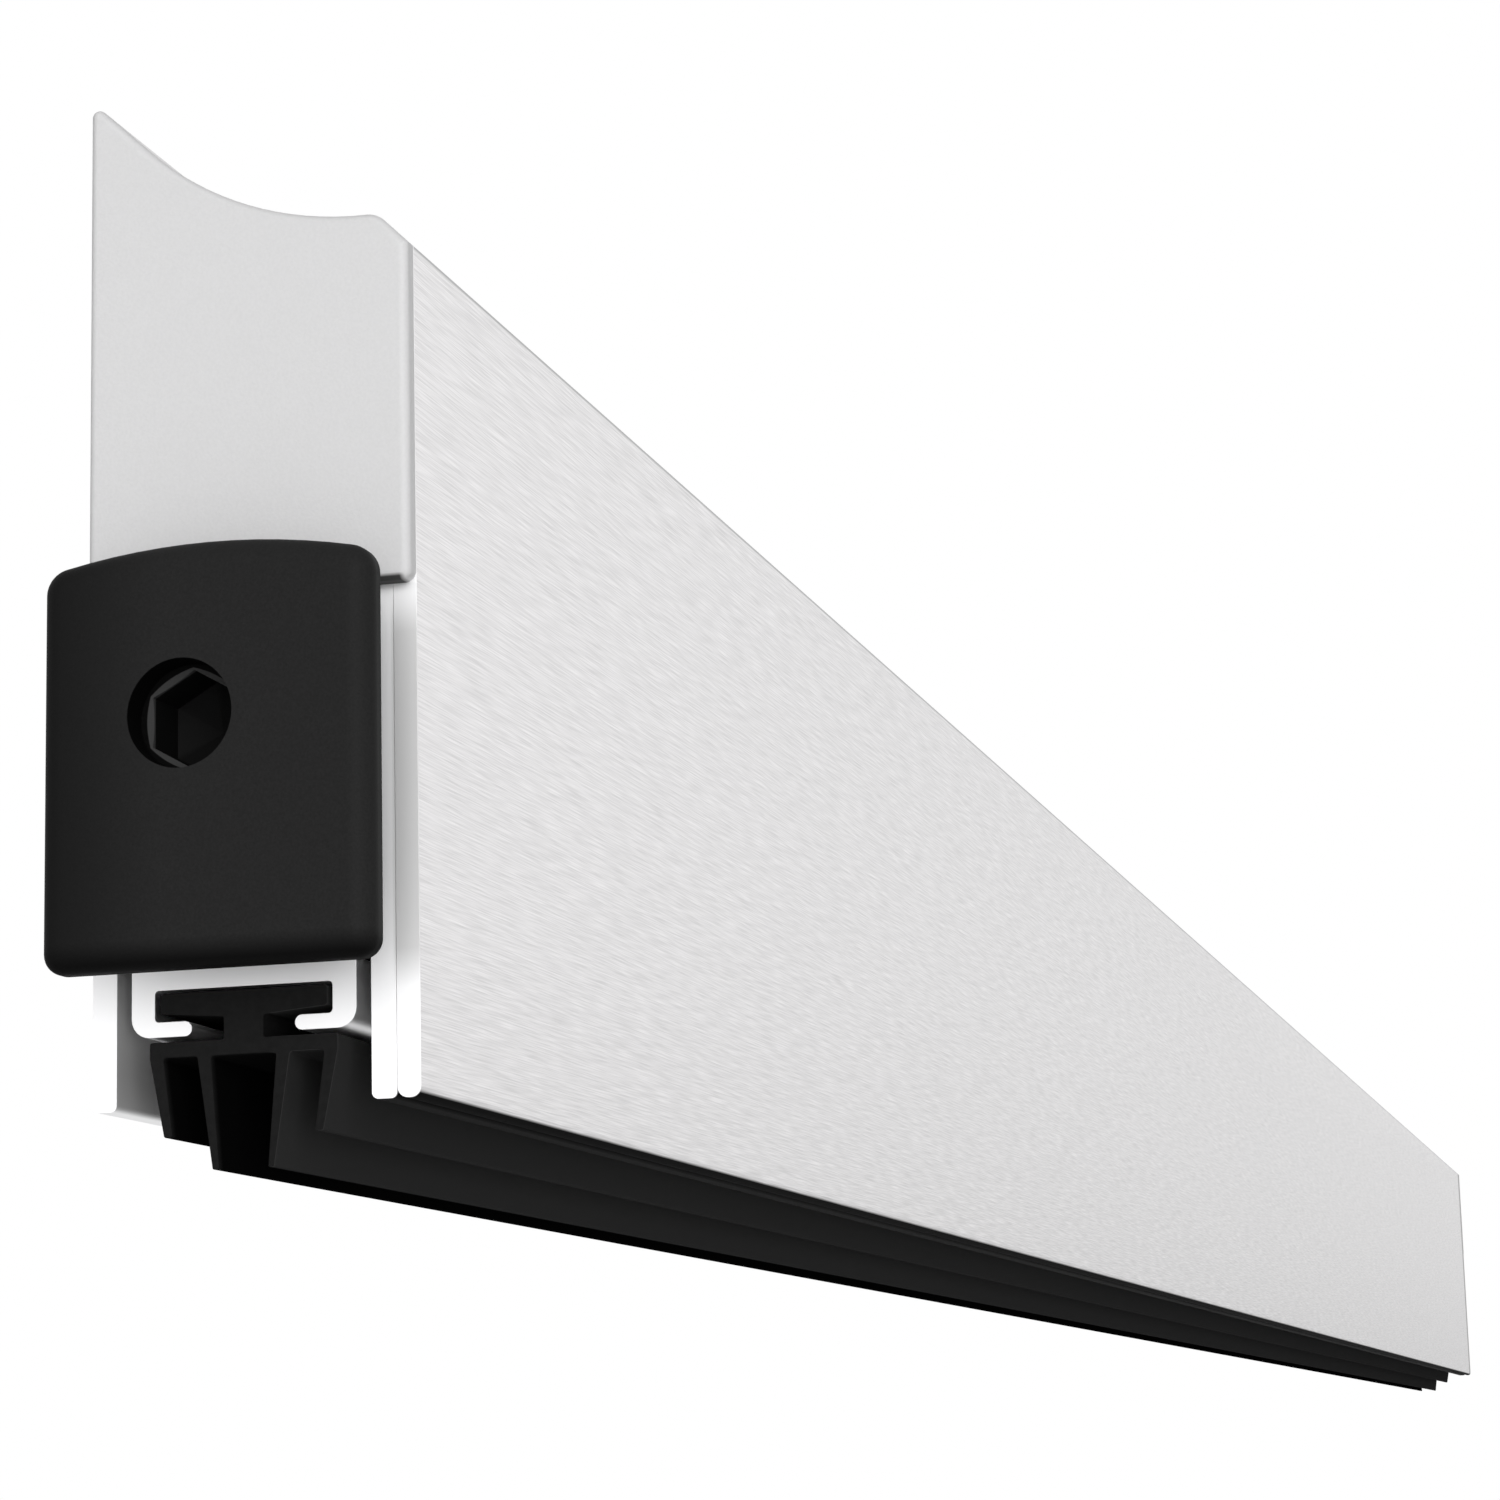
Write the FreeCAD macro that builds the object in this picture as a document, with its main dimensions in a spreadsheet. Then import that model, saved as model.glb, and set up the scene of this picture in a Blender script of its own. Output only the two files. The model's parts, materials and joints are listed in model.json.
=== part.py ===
import FreeCAD, Part
import math
import os
import re
import Sketcher

# Automatic door bottom seal, fixed to the face of a door
# Every piece is drawn from the near end of the housing (x), from the door's face into the room (depth)
# and from the lower edge of the housing's walls (height), in millimetres.
# The part's own frame has its origin on the door's face at the middle of the row of fixing holes,
# +X along the seal away from the plunger, +Y into the door and +Z up.

# Driving sizes: name, value, what it is
SIZES = [
    ("housing_length", 630, "length of the housing, the cover, the bar and the rubber"),
    ("seal_width", 16, "from the door's face to the face of the cover"),
    ("wall", 1.2, "walls of the housing"),
    ("cavity_height", 24, "underside of the web above the lower edge"),
    ("web", 1.2, "thickness of the web"),
    ("edge_round", 0.3, "rounding of the housing's lower edges"),
    ("fixing_height", 36, "row of fixing holes above the lower edge"),
    ("fixings", 4, "number of fixing holes in the row"),
    ("fixing_inset", 30, "end fixing holes in from the ends"),
    ("fixing_hole", 4.4, "diameter of the fixing holes"),
    ("cover_wall", 1.1, "wall of the cover"),
    ("cover_gap", 0.04, "seam between the housing and the cover"),
    ("cover_round", 0.5, "rounding of the cover's lower edge"),
    ("sweep_low", 41.55, "lowest point of the cover's hollow top"),
    ("chamfer", 1.55, "chamfer along the cover's top edge"),
    ("chamfer_land", 0.55, "flat between the chamfer and the hollow sweep"),
    ("chamfer_round", 1.2, "rounding between the chamfer and the land"),
    ("sweep_end", 2.95, "depth at which the hollow sweep turns straight"),
    ("sweep_angle", 43.5, "slope of the straight stretch, in degrees"),
    ("tip_round", 0.35, "rounding of the peak at the door"),
    ("hook_gap", 0.05, "play of the cover's hook on the flange"),
    ("hook_wall", 0.8, "wall of the hook"),
    ("hook_drop", 2, "how far the hook reaches down behind the flange"),
    ("clip_height", 28.7, "middle of the clip groove"),
    ("clip_width", 1.4, "height of the clip groove"),
    ("clip_depth", 0.45, "depth of the clip groove"),
    ("clip_cover", 1.6, "housing's wall above the clip groove"),
    ("cap_plate", 1, "thickness of the end caps"),
    ("cap_low", 23.8, "lower edge of the end caps"),
    ("cap_round", 0.4, "rounding of the end caps' outer edges"),
    ("cap_low_round", 0.5, "lower corners of the end caps"),
    ("plug_length", 9, "how far an end cap's plug reaches in"),
    ("plug_wall", 1.3, "wall of the plug"),
    ("plug_top", 38.5, "top of the plug"),
    ("plug_play", 0.15, "play of the plug in the upper chamber"),
    ("plunger_front", 6.3, "front of the plunger ahead of the housing"),
    ("plunger_plate", 1.6, "thickness of the plunger's plate"),
    ("plunger_door_gap", 0.05, "plate clear of the door"),
    ("plunger_room_gap", 0.05, "plate behind the cover's face"),
    ("plunger_low", 5.7, "lower edge of the plate"),
    ("plunger_shoulder", 24.2, "where the plate's crown starts"),
    ("plunger_crown", 0.95, "rise of the plate's crown"),
    ("plunger_top_round", 1.3, "upper corners of the plate"),
    ("plunger_low_round", 0.9, "lower corners of the plate"),
    ("plunger_edge", 1.05, "rounding of the plate's front edge"),
    ("slide_play", 0.25, "play of the plunger's body in the housing"),
    ("plunger_body_low", 8.6, "underside of the plunger's body"),
    ("plunger_body_length", 30, "length of the plunger's body behind the plate"),
    ("rod_offset", 0.53, "axis of the rod and the screw on the door's side of the middle"),
    ("rod_height", 17.15, "height of the screw's axis and of the drive pins"),
    ("plunger_travel", 2.9, "how far the plunger is pushed in"),
    ("drop_travel", 8, "how far the rubber comes down"),
    ("key_hole", 5.05, "hole in the plate for the hexagon key"),
    ("screw_head", 7, "diameter of the screw's head"),
    ("screw_head_length", 4.9, "length of the screw's head"),
    ("screw_shank", 5, "diameter of the screw's shank"),
    ("screw_engaged", 10.95, "how deep the screw's shank sits in the rod end"),
    ("screw_point", 0.5, "bevel of the screw's point"),
    ("socket_flats", 4, "hexagon socket across its flats"),
    ("socket_depth", 3, "depth of the hexagon socket"),
    ("socket_chamfer", 0.22, "chamfer at the socket's mouth"),
    ("fit_play", 0.05, "play of a pin or a screw in its hole, all round"),
    ("retainer_ring", 1.2, "thickness of the retaining ring"),
    ("retainer_grip", 0.6, "how much wider the ring is than the screw's head, all round"),
    ("rod_end_side", 7, "side of the square rod end"),
    ("rod_end_sunk", 2, "rod end behind the mouth of the plunger's body"),
    ("rod_end_length", 16, "length of the rod end's block"),
    ("rod_end_bore", 12.5, "depth of the rod end's bore"),
    ("tongue_length", 10, "length of the tongues inside the rod"),
    ("tongue_play", 0.05, "play of the tongues in the rod"),
    ("rod_width", 5.6, "width of the push rod"),
    ("rod_wall", 1, "wall of the push rod"),
    ("rod_below", 1.65, "push rod below the drive pins' axis"),
    ("rod_tall", 4.6, "height of the push rod"),
    ("rod_start_gap", 0.2, "rod behind the shoulder of the rod end"),
    ("rod_bend", 0.8, "rounding of the push rod's bends"),
    ("rod_tail_length", 5, "length of the rod tail's block"),
    ("rivet_shank", 2, "diameter of the rod's rivets"),
    ("rivet_head", 3.4, "diameter of the rod's rivet heads"),
    ("rivet_head_height", 0.5, "height of the rod's rivet heads"),
    ("block_play", 0.1, "play of the blocks and brackets in the housing"),
    ("block_low", 8.4, "underside of the guide blocks"),
    ("block_round", 0.6, "rounding of the guide blocks' lower edges"),
    ("near_block_gap", 24.4, "near guide block behind the plunger's body"),
    ("near_block_length", 22, "length of the near guide block"),
    ("far_block_inset", 4, "far guide block in from the far end"),
    ("far_block_length", 26, "length of the far guide block"),
    ("window_play", 0.2, "play of the rod in the near guide block"),
    ("post_size", 2.4, "diameter of the guide posts"),
    ("post_beside_rod", 4.85, "axis of the guide posts on the room side of the rod's"),
    ("post_length", 13, "length of the guide posts above the bar"),
    ("spigot_size", 1.8, "diameter of the posts' spigots"),
    ("block_screw", 2.5, "diameter of the block screws"),
    ("block_screw_head", 3.9, "diameter of the block screws' heads"),
    ("block_screw_head_height", 1.6, "height of the block screws' heads"),
    ("block_screw_reach", 6, "how deep the block screws go into the blocks"),
    ("block_screw_offset", 6, "block screws ahead of the guide posts"),
    ("block_screw_beside_rod", 4.7, "axis of the block screws on the room side of the rod's"),
    ("near_station", 120, "pivot of the near lever"),
    ("far_station_inset", 130, "pivot of the far lever in from the far end"),
    ("lever_rise", 7.4, "drive pins above the pivots"),
    ("lever_thick", 3, "thickness of the levers"),
    ("lever_hub", 5.2, "diameter of the levers' hubs"),
    ("lever_side_play", 0.15, "hub to the bracket's cheeks"),
    ("lever_arm", 4, "width of the levers' arms"),
    ("lever_end", 2.1, "material round the long arm's slot end"),
    ("arm_round_ratio", 0.45, "rounding of the long arm's tip, as a share of the arm's width"),
    ("fork_reach", 1.35, "short arm's end beyond the drive pin"),
    ("slot_play", 0.12, "play of the pins in the levers' slots, all round"),
    ("pivot_pin", 3, "diameter of the pivot pins"),
    ("drive_pin", 2, "diameter of the drive and hanger pins"),
    ("pin_proud", 0.2, "how far the drive pins stand out of the rod"),
    ("pin_bevel", 0.2, "broken edges of the pins"),
    ("press_play", 0.02, "all round a pin that is pressed in"),
    ("bracket_sheet", 1.2, "sheet of the lever brackets"),
    ("bracket_bend", 1.1, "rounding of the lever brackets' bends"),
    ("bracket_play", 0.05, "lever brackets below the web"),
    ("bracket_length", 14, "length of the lever brackets"),
    ("bracket_below", 2.4, "cheeks below the pivot"),
    ("bracket_rivet", 3, "diameter of the bracket rivets"),
    ("bracket_rivet_head", 5, "diameter of the bracket rivets' heads"),
    ("bracket_rivet_head_height", 0.9, "height of the bracket rivets' heads"),
    ("bracket_rivet_spread", 3.6, "bracket rivets either side of the pivot"),
    ("bar_width", 11, "width of the carrier bar"),
    ("bar_wall", 1.15, "wall of the carrier bar"),
    ("bar_low", 3.33, "underside of the carrier bar's lips"),
    ("bar_lip", 0.7, "thickness of the lips"),
    ("lip_round_ratio", 0.48, "rounding of the lips, as a share of their thickness"),
    ("bar_slot", 5.05, "slot between the lips"),
    ("bar_inner_top", 5.5, "inside of the carrier bar's top"),
    ("bar_round", 0.9, "lower outer corners of the carrier bar"),
    ("hanger_sheet", 1, "sheet of the hangers"),
    ("hanger_ear", 1.9, "radius of the ears round the hanger pin"),
    ("ear_round_ratio", 0.8, "rounding of the ears, as a share of that radius"),
    ("hanger_rod_gap", 0.4, "ears clear of the push rod"),
    ("hanger_length", 15, "length of the hangers' base"),
    ("hanger_rivet", 2, "diameter of the hanger rivets"),
    ("hanger_rivet_head", 3.4, "diameter of the hanger rivets' heads"),
    ("hanger_rivet_spread", 5.2, "hanger rivets either side of the pin"),
    ("head_width", 8.2, "width of the rubber's T head"),
    ("head_low", 4.4, "underside of the T head at its edges"),
    ("head_neck_low", 4.15, "underside of the T head at its neck"),
    ("head_play", 0.15, "T head below the bar's inside"),
    ("neck_width", 1.94, "width of the rubber's neck"),
    ("flange_width", 9.2, "width of the rubber's flange"),
    ("flange_top", 3.1, "top of the rubber's flange"),
    ("flange_low", 2.38, "underside of the rubber's flange"),
    ("outer_fin_root", 0.65, "outer fins' thickness at the flange"),
    ("outer_fin_tip", 0.4, "outer fins' thickness at the tip"),
    ("outer_fin_lean", 0.72, "how far the outer fins lean in"),
    ("outer_fin_low", 1.3, "outer fins' tips below the housing"),
    ("inner_fin_place", 2.27, "inner fins' outer face from the middle"),
    ("inner_fin_root", 0.66, "inner fins' thickness at the flange"),
    ("inner_fin_tip", 0.3, "inner fins' thickness at the tip"),
    ("inner_fin_lean", 0.77, "how far the inner fins lean in"),
    ("inner_fin_low", 2.85, "inner fins' tips below the housing"),
    ("spring_wire", 0.7, "wire of the return spring"),
    ("spring_coil", 5.2, "mean diameter of the return spring"),
    ("spring_turns", 9, "turns of the return spring"),
    ("spring_length", 29.8, "room for the spring between the rod tail and the far guide block"),
    ("spring_seat_gap", 0.05, "ends of the spring clear of their seats"),
    ("spring_pin", 2.5, "diameter of the spring's guide pin"),
    ("spring_pin_sunk", 12, "guide pin inside the far guide block"),
    ("spring_pin_reach", 8, "guide pin inside the push rod"),
]

# Places that follow from the driving sizes, in plain names
FORMULAS = {
    "room_face": "seal_width - cover_wall - cover_gap",
    "cavity_room": "room_face - wall",
    "cavity_middle": "(wall + cavity_room) / 2",
    "web_top": "cavity_height + web",
    "fixing_spacing": "(housing_length - 2 * fixing_inset) / (fixings - 1)",
    "room_wall_height": "clip_height + clip_width / 2 + clip_cover",
    "cover_face_top": "sweep_low - chamfer",
    "sweep_radius": "(seal_width - chamfer - chamfer_land - sweep_end) / sin(sweep_angle)",
    "sweep_top": "sweep_low + sweep_radius * (1 - cos(sweep_angle))",
    "peak": "sweep_top + sweep_end * tan(sweep_angle)",
    "cover_below": "cover_wall / cos(sweep_angle)",
    "flange_height": "sweep_top + (sweep_end - wall) * tan(sweep_angle) - cover_below - hook_gap",
    "hook_start": "wall + hook_gap",
    "hook_inner": "hook_start + hook_wall",
    "inner_sweep_depth": "sweep_end - cover_wall * sin(sweep_angle)",
    "inner_sweep_height": "sweep_top - cover_wall * cos(sweep_angle)",
    "rod_depth": "cavity_middle - rod_offset",
    "post_depth": "rod_depth + post_beside_rod",
    "block_screw_depth": "rod_depth + block_screw_beside_rod",
    "plate_back": "plunger_plate - plunger_front",
    "plunger_room_side": "seal_width - plunger_room_gap",
    "crown_half": "(plunger_room_side - plunger_door_gap) / 2",
    "crown_radius": "(crown_half * crown_half + plunger_crown * plunger_crown) / (2 * plunger_crown)",
    "retainer_size": "screw_head + 2 * retainer_grip",
    "screw_face": "plate_back + fit_play",
    "screw_head_end": "screw_face + screw_head_length",
    "screw_end": "rod_end_start + screw_engaged",
    "retainer_start": "screw_head_end + fit_play",
    "pocket_start": "retainer_start + retainer_ring",
    "plunger_body_end": "plate_back + plunger_body_length",
    "tongue_start": "plunger_body_end - rod_end_sunk",
    "rod_end_start": "tongue_start - rod_end_length",
    "rod_start": "tongue_start + rod_start_gap",
    "rod_low": "rod_height - rod_below",
    "rod_top": "rod_low + rod_tall",
    "rod_door_side": "rod_depth - rod_width / 2",
    "rod_room_side": "rod_depth + rod_width / 2",
    "near_rivet": "tongue_start + tongue_length / 2",
    "far_block_start": "housing_length - far_block_inset - far_block_length",
    "spring_start": "far_block_start - spring_length",
    "tail_start": "spring_start - rod_tail_length",
    "rod_finish": "tail_start - rod_start_gap",
    "near_block_start": "plunger_body_end + near_block_gap",
    "near_post": "near_block_start + near_block_length / 2",
    "far_post": "far_block_start + far_block_length / 2",
    "bar_top": "bar_inner_top + bar_wall",
    "bar_door_side": "cavity_middle - bar_width / 2",
    "bar_room_side": "cavity_middle + bar_width / 2",
    "far_station": "housing_length - far_station_inset",
    "pivot_height": "rod_height - lever_rise",
    "lever_reach": "lever_rise * drop_travel / plunger_travel",
    "lever_slope": "drop_travel / 2 / lever_reach",
    "lever_stretch": "sqrt(1 + lever_slope * lever_slope)",
    "hanger_height": "pivot_height + drop_travel / 2",
    "ear_door_side": "rod_door_side - hanger_rod_gap - hanger_sheet",
    "ear_room_side": "rod_room_side + hanger_rod_gap + hanger_sheet",
}

doc = FreeCAD.newDocument("DoorBottomSeal")
sheet = doc.addObject("Spreadsheet::Sheet", "Sizes")
ALIASES = {name for name, _, _ in SIZES}
for row, (name, number, words) in enumerate(SIZES, start=1):
    sheet.set(f"A{row}", words)
    sheet.set(f"B{row}", str(number))
    sheet.setAlias(f"B{row}", name)
doc.recompute()

PARTS = []

# How near two places are to count as one
NEAR = 1e-3

# Steps in a turn of the return spring and round its wire
SPRING_STEPS = 12


# A formula in plain names becomes one that reads the sheet
def sized(text):
    def swap(match):
        word = match.group(0)
        if word in FORMULAS:
            return f"({sized(FORMULAS[word])})"
        if word in ALIASES:
            return f"Sizes.{word}"
        return word

    return re.sub(r"[a-z_][a-z_0-9]*", swap, str(text))


# The same formula as a number, for first positions and for choosing edges
def value(text):
    return float(sheet.evalExpression(sized(text)))


# A sub-part's body, whose frame is the housing's near lower edge at the door
def new_body(name, at=("0", "0", "0")):
    body = doc.addObject("PartDesign::Body", name)
    body.Label = name
    place_in_frame(body, at)
    PARTS.append(body)
    return body


# A piece drawn from the near lower edge is moved into the part's own frame
def place_in_frame(piece, at):
    along, depth, height = at
    piece.setExpression("Placement.Base.x", sized(f"{along} - housing_length / 2"))
    piece.setExpression("Placement.Base.y", sized(f"0 - ({depth})"))
    piece.setExpression("Placement.Base.z", sized(f"{height} - fixing_height"))


# Depth runs against Y, so it changes sign on the planes that show it
def on_plane(role, first, second):
    if role == "YZ_Plane":
        return f"0 - ({first})", f"({second})"
    if role == "XY_Plane":
        return f"({first})", f"0 - ({second})"
    return f"({first})", f"({second})"


# A sketch on one of the body's own planes, "start" away from it along its normal:
# +X for YZ_Plane, +Z for XY_Plane and into the room for XZ_Plane
def new_sketch(body, name, role, start):
    sketch = body.newObject("Sketcher::SketchObject", name)
    plane = [feature for feature in body.Origin.OriginFeatures if feature.Role == role][0]
    sketch.AttachmentSupport = [(plane, "")]
    sketch.MapMode = "FlatFace"
    sketch.setExpression("AttachmentOffset.Base.z", sized(start))
    return sketch


def bind(sketch, constraint, text):
    index = sketch.addConstraint(constraint)
    sketch.setExpression(f"Constraints[{index}]", sized(text))


def add_circle(sketch, role, centre, radius):
    x, y = on_plane(role, *centre)
    circle = Part.Circle(FreeCAD.Vector(value(x), value(y), 0), FreeCAD.Vector(0, 0, 1), value(radius))
    index = sketch.addGeometry(circle, False)
    bind(sketch, Sketcher.Constraint("DistanceX", -1, 1, index, 3, value(x)), x)
    bind(sketch, Sketcher.Constraint("DistanceY", -1, 1, index, 3, value(y)), y)
    bind(sketch, Sketcher.Constraint("Radius", index, value(radius)), radius)


# The centre of an arc through two points, on the side of the hint
def arc_centre(begin, end, radius, hint):
    middle = (begin + end) * 0.5
    chord = end - begin
    across = FreeCAD.Vector(-chord.y, chord.x, 0).normalize()
    rise = math.sqrt(max(radius * radius - (chord.Length / 2) ** 2, 0))
    return min((middle + across * rise, middle - across * rise), key=lambda point: (point - hint).Length)


# A closed outline: each corner is (first, second), or (first, second, (radius, hint)) where the edge
# to the next corner is an arc whose centre lies near the hint
def add_outline(sketch, role, corners):
    texts = [on_plane(role, corner[0], corner[1]) for corner in corners]
    points = [FreeCAD.Vector(value(x), value(y), 0) for x, y in texts]
    ends = []
    for number, corner in enumerate(corners):
        begin, end = points[number], points[(number + 1) % len(points)]
        if len(corner) == 2:
            index = sketch.addGeometry(Part.LineSegment(begin, end), False)
            ends.append((index, 1, 2))
            continue
        radius, hint = corner[2]
        hint_x, hint_y = on_plane(role, *hint)
        towards = FreeCAD.Vector(value(hint_x), value(hint_y), 0)
        centre = arc_centre(begin, end, value(radius), towards)
        angles = [math.atan2(point.y - centre.y, point.x - centre.x) for point in (begin, end)]
        forward = (angles[1] - angles[0]) % (2 * math.pi) < math.pi
        first, last = angles if forward else reversed(angles)
        circle = Part.Circle(centre, FreeCAD.Vector(0, 0, 1), value(radius))
        index = sketch.addGeometry(Part.ArcOfCircle(circle, first, last), False)
        ends.append((index, 1, 2) if forward else (index, 2, 1))
        bind(sketch, Sketcher.Constraint("Radius", index, value(radius)), radius)
    for number, (index, begin, end) in enumerate(ends):
        following, start, _ = ends[(number + 1) % len(ends)]
        sketch.addConstraint(Sketcher.Constraint("Coincident", index, end, following, start))
        x, y = texts[number]
        bind(sketch, Sketcher.Constraint("DistanceX", -1, 1, index, begin, value(x)), x)
        bind(sketch, Sketcher.Constraint("DistanceY", -1, 1, index, begin, value(y)), y)


# A pad or a pocket from "start" over "length" along the plane's normal
# A loop is a list of corners, or ("circle", centre, radius)
def extrude(body, name, role, start, length, loops, cut=False):
    before = body.Shape.Volume if body.Tip else 0
    sketch = new_sketch(body, f"{name}_sketch", role, start)
    for loop in loops:
        if loop[0] == "circle":
            add_circle(sketch, role, loop[1], loop[2])
        else:
            add_outline(sketch, role, loop)
    feature = body.newObject("PartDesign::Pocket" if cut else "PartDesign::Pad", name)
    feature.Profile = sketch
    feature.setExpression("Length", sized(length))
    feature.Reversed = cut
    doc.recompute()
    after = feature.Shape.Volume
    if (after >= before) if cut else (after <= before):
        raise RuntimeError(f"{body.Label}: {name} changed nothing")
    return feature


def cut_out(body, name, role, start, length, loops):
    return extrude(body, name, role, start, length, loops, cut=True)


def box_loop(first_low, first_high, second_low, second_high):
    return [
        (first_low, second_low),
        (first_high, second_low),
        (first_high, second_high),
        (first_low, second_high),
    ]


# Edges along X whose middle is at one of the stated places, given as depth and height
def ridges(places):
    spots = [(-value(depth), value(height)) for depth, height in places]

    def chosen(edge):
        first, last = edge.Vertexes[0].Point, edge.Vertexes[-1].Point
        if abs(first.y - last.y) > NEAR or abs(first.z - last.z) > NEAR:
            return False
        return any(abs(first.y - y) < NEAR and abs(first.z - z) < NEAR for y, z in spots)

    return chosen


# Edges that lie in the plane at x, which round a plate there run round its outside
def rim(along):
    place = value(along)

    def chosen(edge):
        box = edge.BoundBox
        return abs(box.XMin - place) < NEAR and abs(box.XMax - place) < NEAR

    return chosen


def dress_edges(body, kind, name, size, chosen):
    base = body.Tip
    names = [f"Edge{number}" for number, edge in enumerate(base.Shape.Edges, 1) if chosen(edge)]
    if not names:
        raise RuntimeError(f"{body.Label}: {name} found no edge")
    feature = body.newObject(kind, name)
    feature.Base = (base, names)
    feature.setExpression("Radius" if kind.endswith("Fillet") else "Size", sized(size))
    doc.recompute()
    return feature


def round_edges(body, name, radius, chosen):
    return dress_edges(body, "PartDesign::Fillet", name, radius, chosen)


def bevel_edges(body, name, size, chosen):
    return dress_edges(body, "PartDesign::Chamfer", name, size, chosen)


# Turns that take a cylinder's own axis to the axis it has in the part
TURNS = {
    "up": FreeCAD.Rotation(),
    "along": FreeCAD.Rotation(FreeCAD.Vector(0, 1, 0), 90),
    "into_room": FreeCAD.Rotation(FreeCAD.Vector(1, 0, 0), 90),
}


def cylinder(name, size, length, at, way):
    rod = doc.addObject("Part::Cylinder", name)
    rod.setExpression("Radius", sized(f"({size}) / 2"))
    rod.setExpression("Height", sized(length))
    rod.Placement = FreeCAD.Placement(FreeCAD.Vector(), TURNS[way])
    place_in_frame(rod, at)
    return rod


# A plain pin with broken edges
def pin(name, size, length, at, way):
    stock = cylinder(f"{name}_stock", size, length, at, way)
    doc.recompute()
    piece = doc.addObject("Part::Chamfer", name)
    piece.Base = stock
    round_edge_numbers = [
        number for number, edge in enumerate(stock.Shape.Edges, 1) if edge.Curve.TypeId == "Part::GeomCircle"
    ]
    bevel = value("pin_bevel")
    piece.Edges = [(number, bevel, bevel) for number in round_edge_numbers]
    piece.Label = name
    PARTS.append(piece)
    return piece


# A rivet or screw of stacked cylinders: each stage is (diameter, length), in order along its axis
def stacked(name, stages, at, way):
    along, depth, height = at
    pieces = []
    done = "0"
    for number, (size, length) in enumerate(stages):
        shift = {
            "up": (along, depth, f"{height} + {done}"),
            "along": (f"{along} + {done}", depth, height),
            "into_room": (along, f"{depth} + {done}", height),
        }[way]
        pieces.append(cylinder(f"{name}_stage_{number}", size, length, shift, way))
        done = f"{done} + ({length})"
    whole = doc.addObject("Part::MultiFuse", f"{name}_whole")
    whole.Shapes = pieces
    whole.Refine = True
    return whole


# Like fasteners share one sub-part as separate solids
def group(name, pieces):
    whole = doc.addObject("Part::Compound", name)
    whole.Links = pieces
    whole.Label = name
    PARTS.append(whole)
    return whole


# The cover's outer outline from its face round to the door, down to the stated height
def cover_outline():
    low_point = ("seal_width - chamfer - chamfer_land", "sweep_low")
    centre = ("seal_width - chamfer - chamfer_land", "sweep_low + sweep_radius")
    return [
        ("seal_width", "cover_face_top"),
        ("seal_width - chamfer", "sweep_low"),
        (*low_point, ("sweep_radius", centre)),
        ("sweep_end", "sweep_top"),
        ("0", "peak"),
    ]


# Housing: inverted channel whose wall at the door runs up as the fixing flange
def make_housing():
    body = new_body("housing")
    groove_low, groove_high = "clip_height - clip_width / 2", "clip_height + clip_width / 2"
    outline = [
        ("0", "0"),
        ("wall", "0"),
        ("wall", "cavity_height"),
        ("cavity_room", "cavity_height"),
        ("cavity_room", "0"),
        ("room_face", "0"),
        ("room_face", groove_low),
        ("room_face - clip_depth", groove_low),
        ("room_face - clip_depth", groove_high),
        ("room_face", groove_high),
        ("room_face", "room_wall_height"),
        ("cavity_room", "room_wall_height"),
        ("cavity_room", "web_top"),
        ("wall", "web_top"),
        ("wall", "flange_height"),
        ("0", "flange_height"),
    ]
    extrude(body, "channel", "YZ_Plane", "0", "housing_length", [outline])
    lower_edges = [("0", "0"), ("wall", "0"), ("cavity_room", "0"), ("room_face", "0")]
    round_edges(body, "lower_edges", "edge_round", ridges(lower_edges))
    fixings = [
        ("circle", (f"fixing_inset + {number} * fixing_spacing", "fixing_height"), "fixing_hole / 2")
        for number in range(round(value("fixings")))
    ]
    cut_out(body, "fixing_holes", "XZ_Plane", "0", "wall", fixings)
    riveted = [
        ("circle", (f"{station} + ({side}) * bracket_rivet_spread", "cavity_middle"),
         "bracket_rivet / 2 + fit_play")
        for station in ("near_station", "far_station") for side in ("-1", "1")
    ]
    screwed = [
        ("circle", (f"{post} - block_screw_offset", "block_screw_depth"), "block_screw / 2 + fit_play")
        for post in ("near_post", "far_post")
    ]
    cut_out(body, "web_holes", "XY_Plane", "cavity_height", "web", riveted + screwed)


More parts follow.
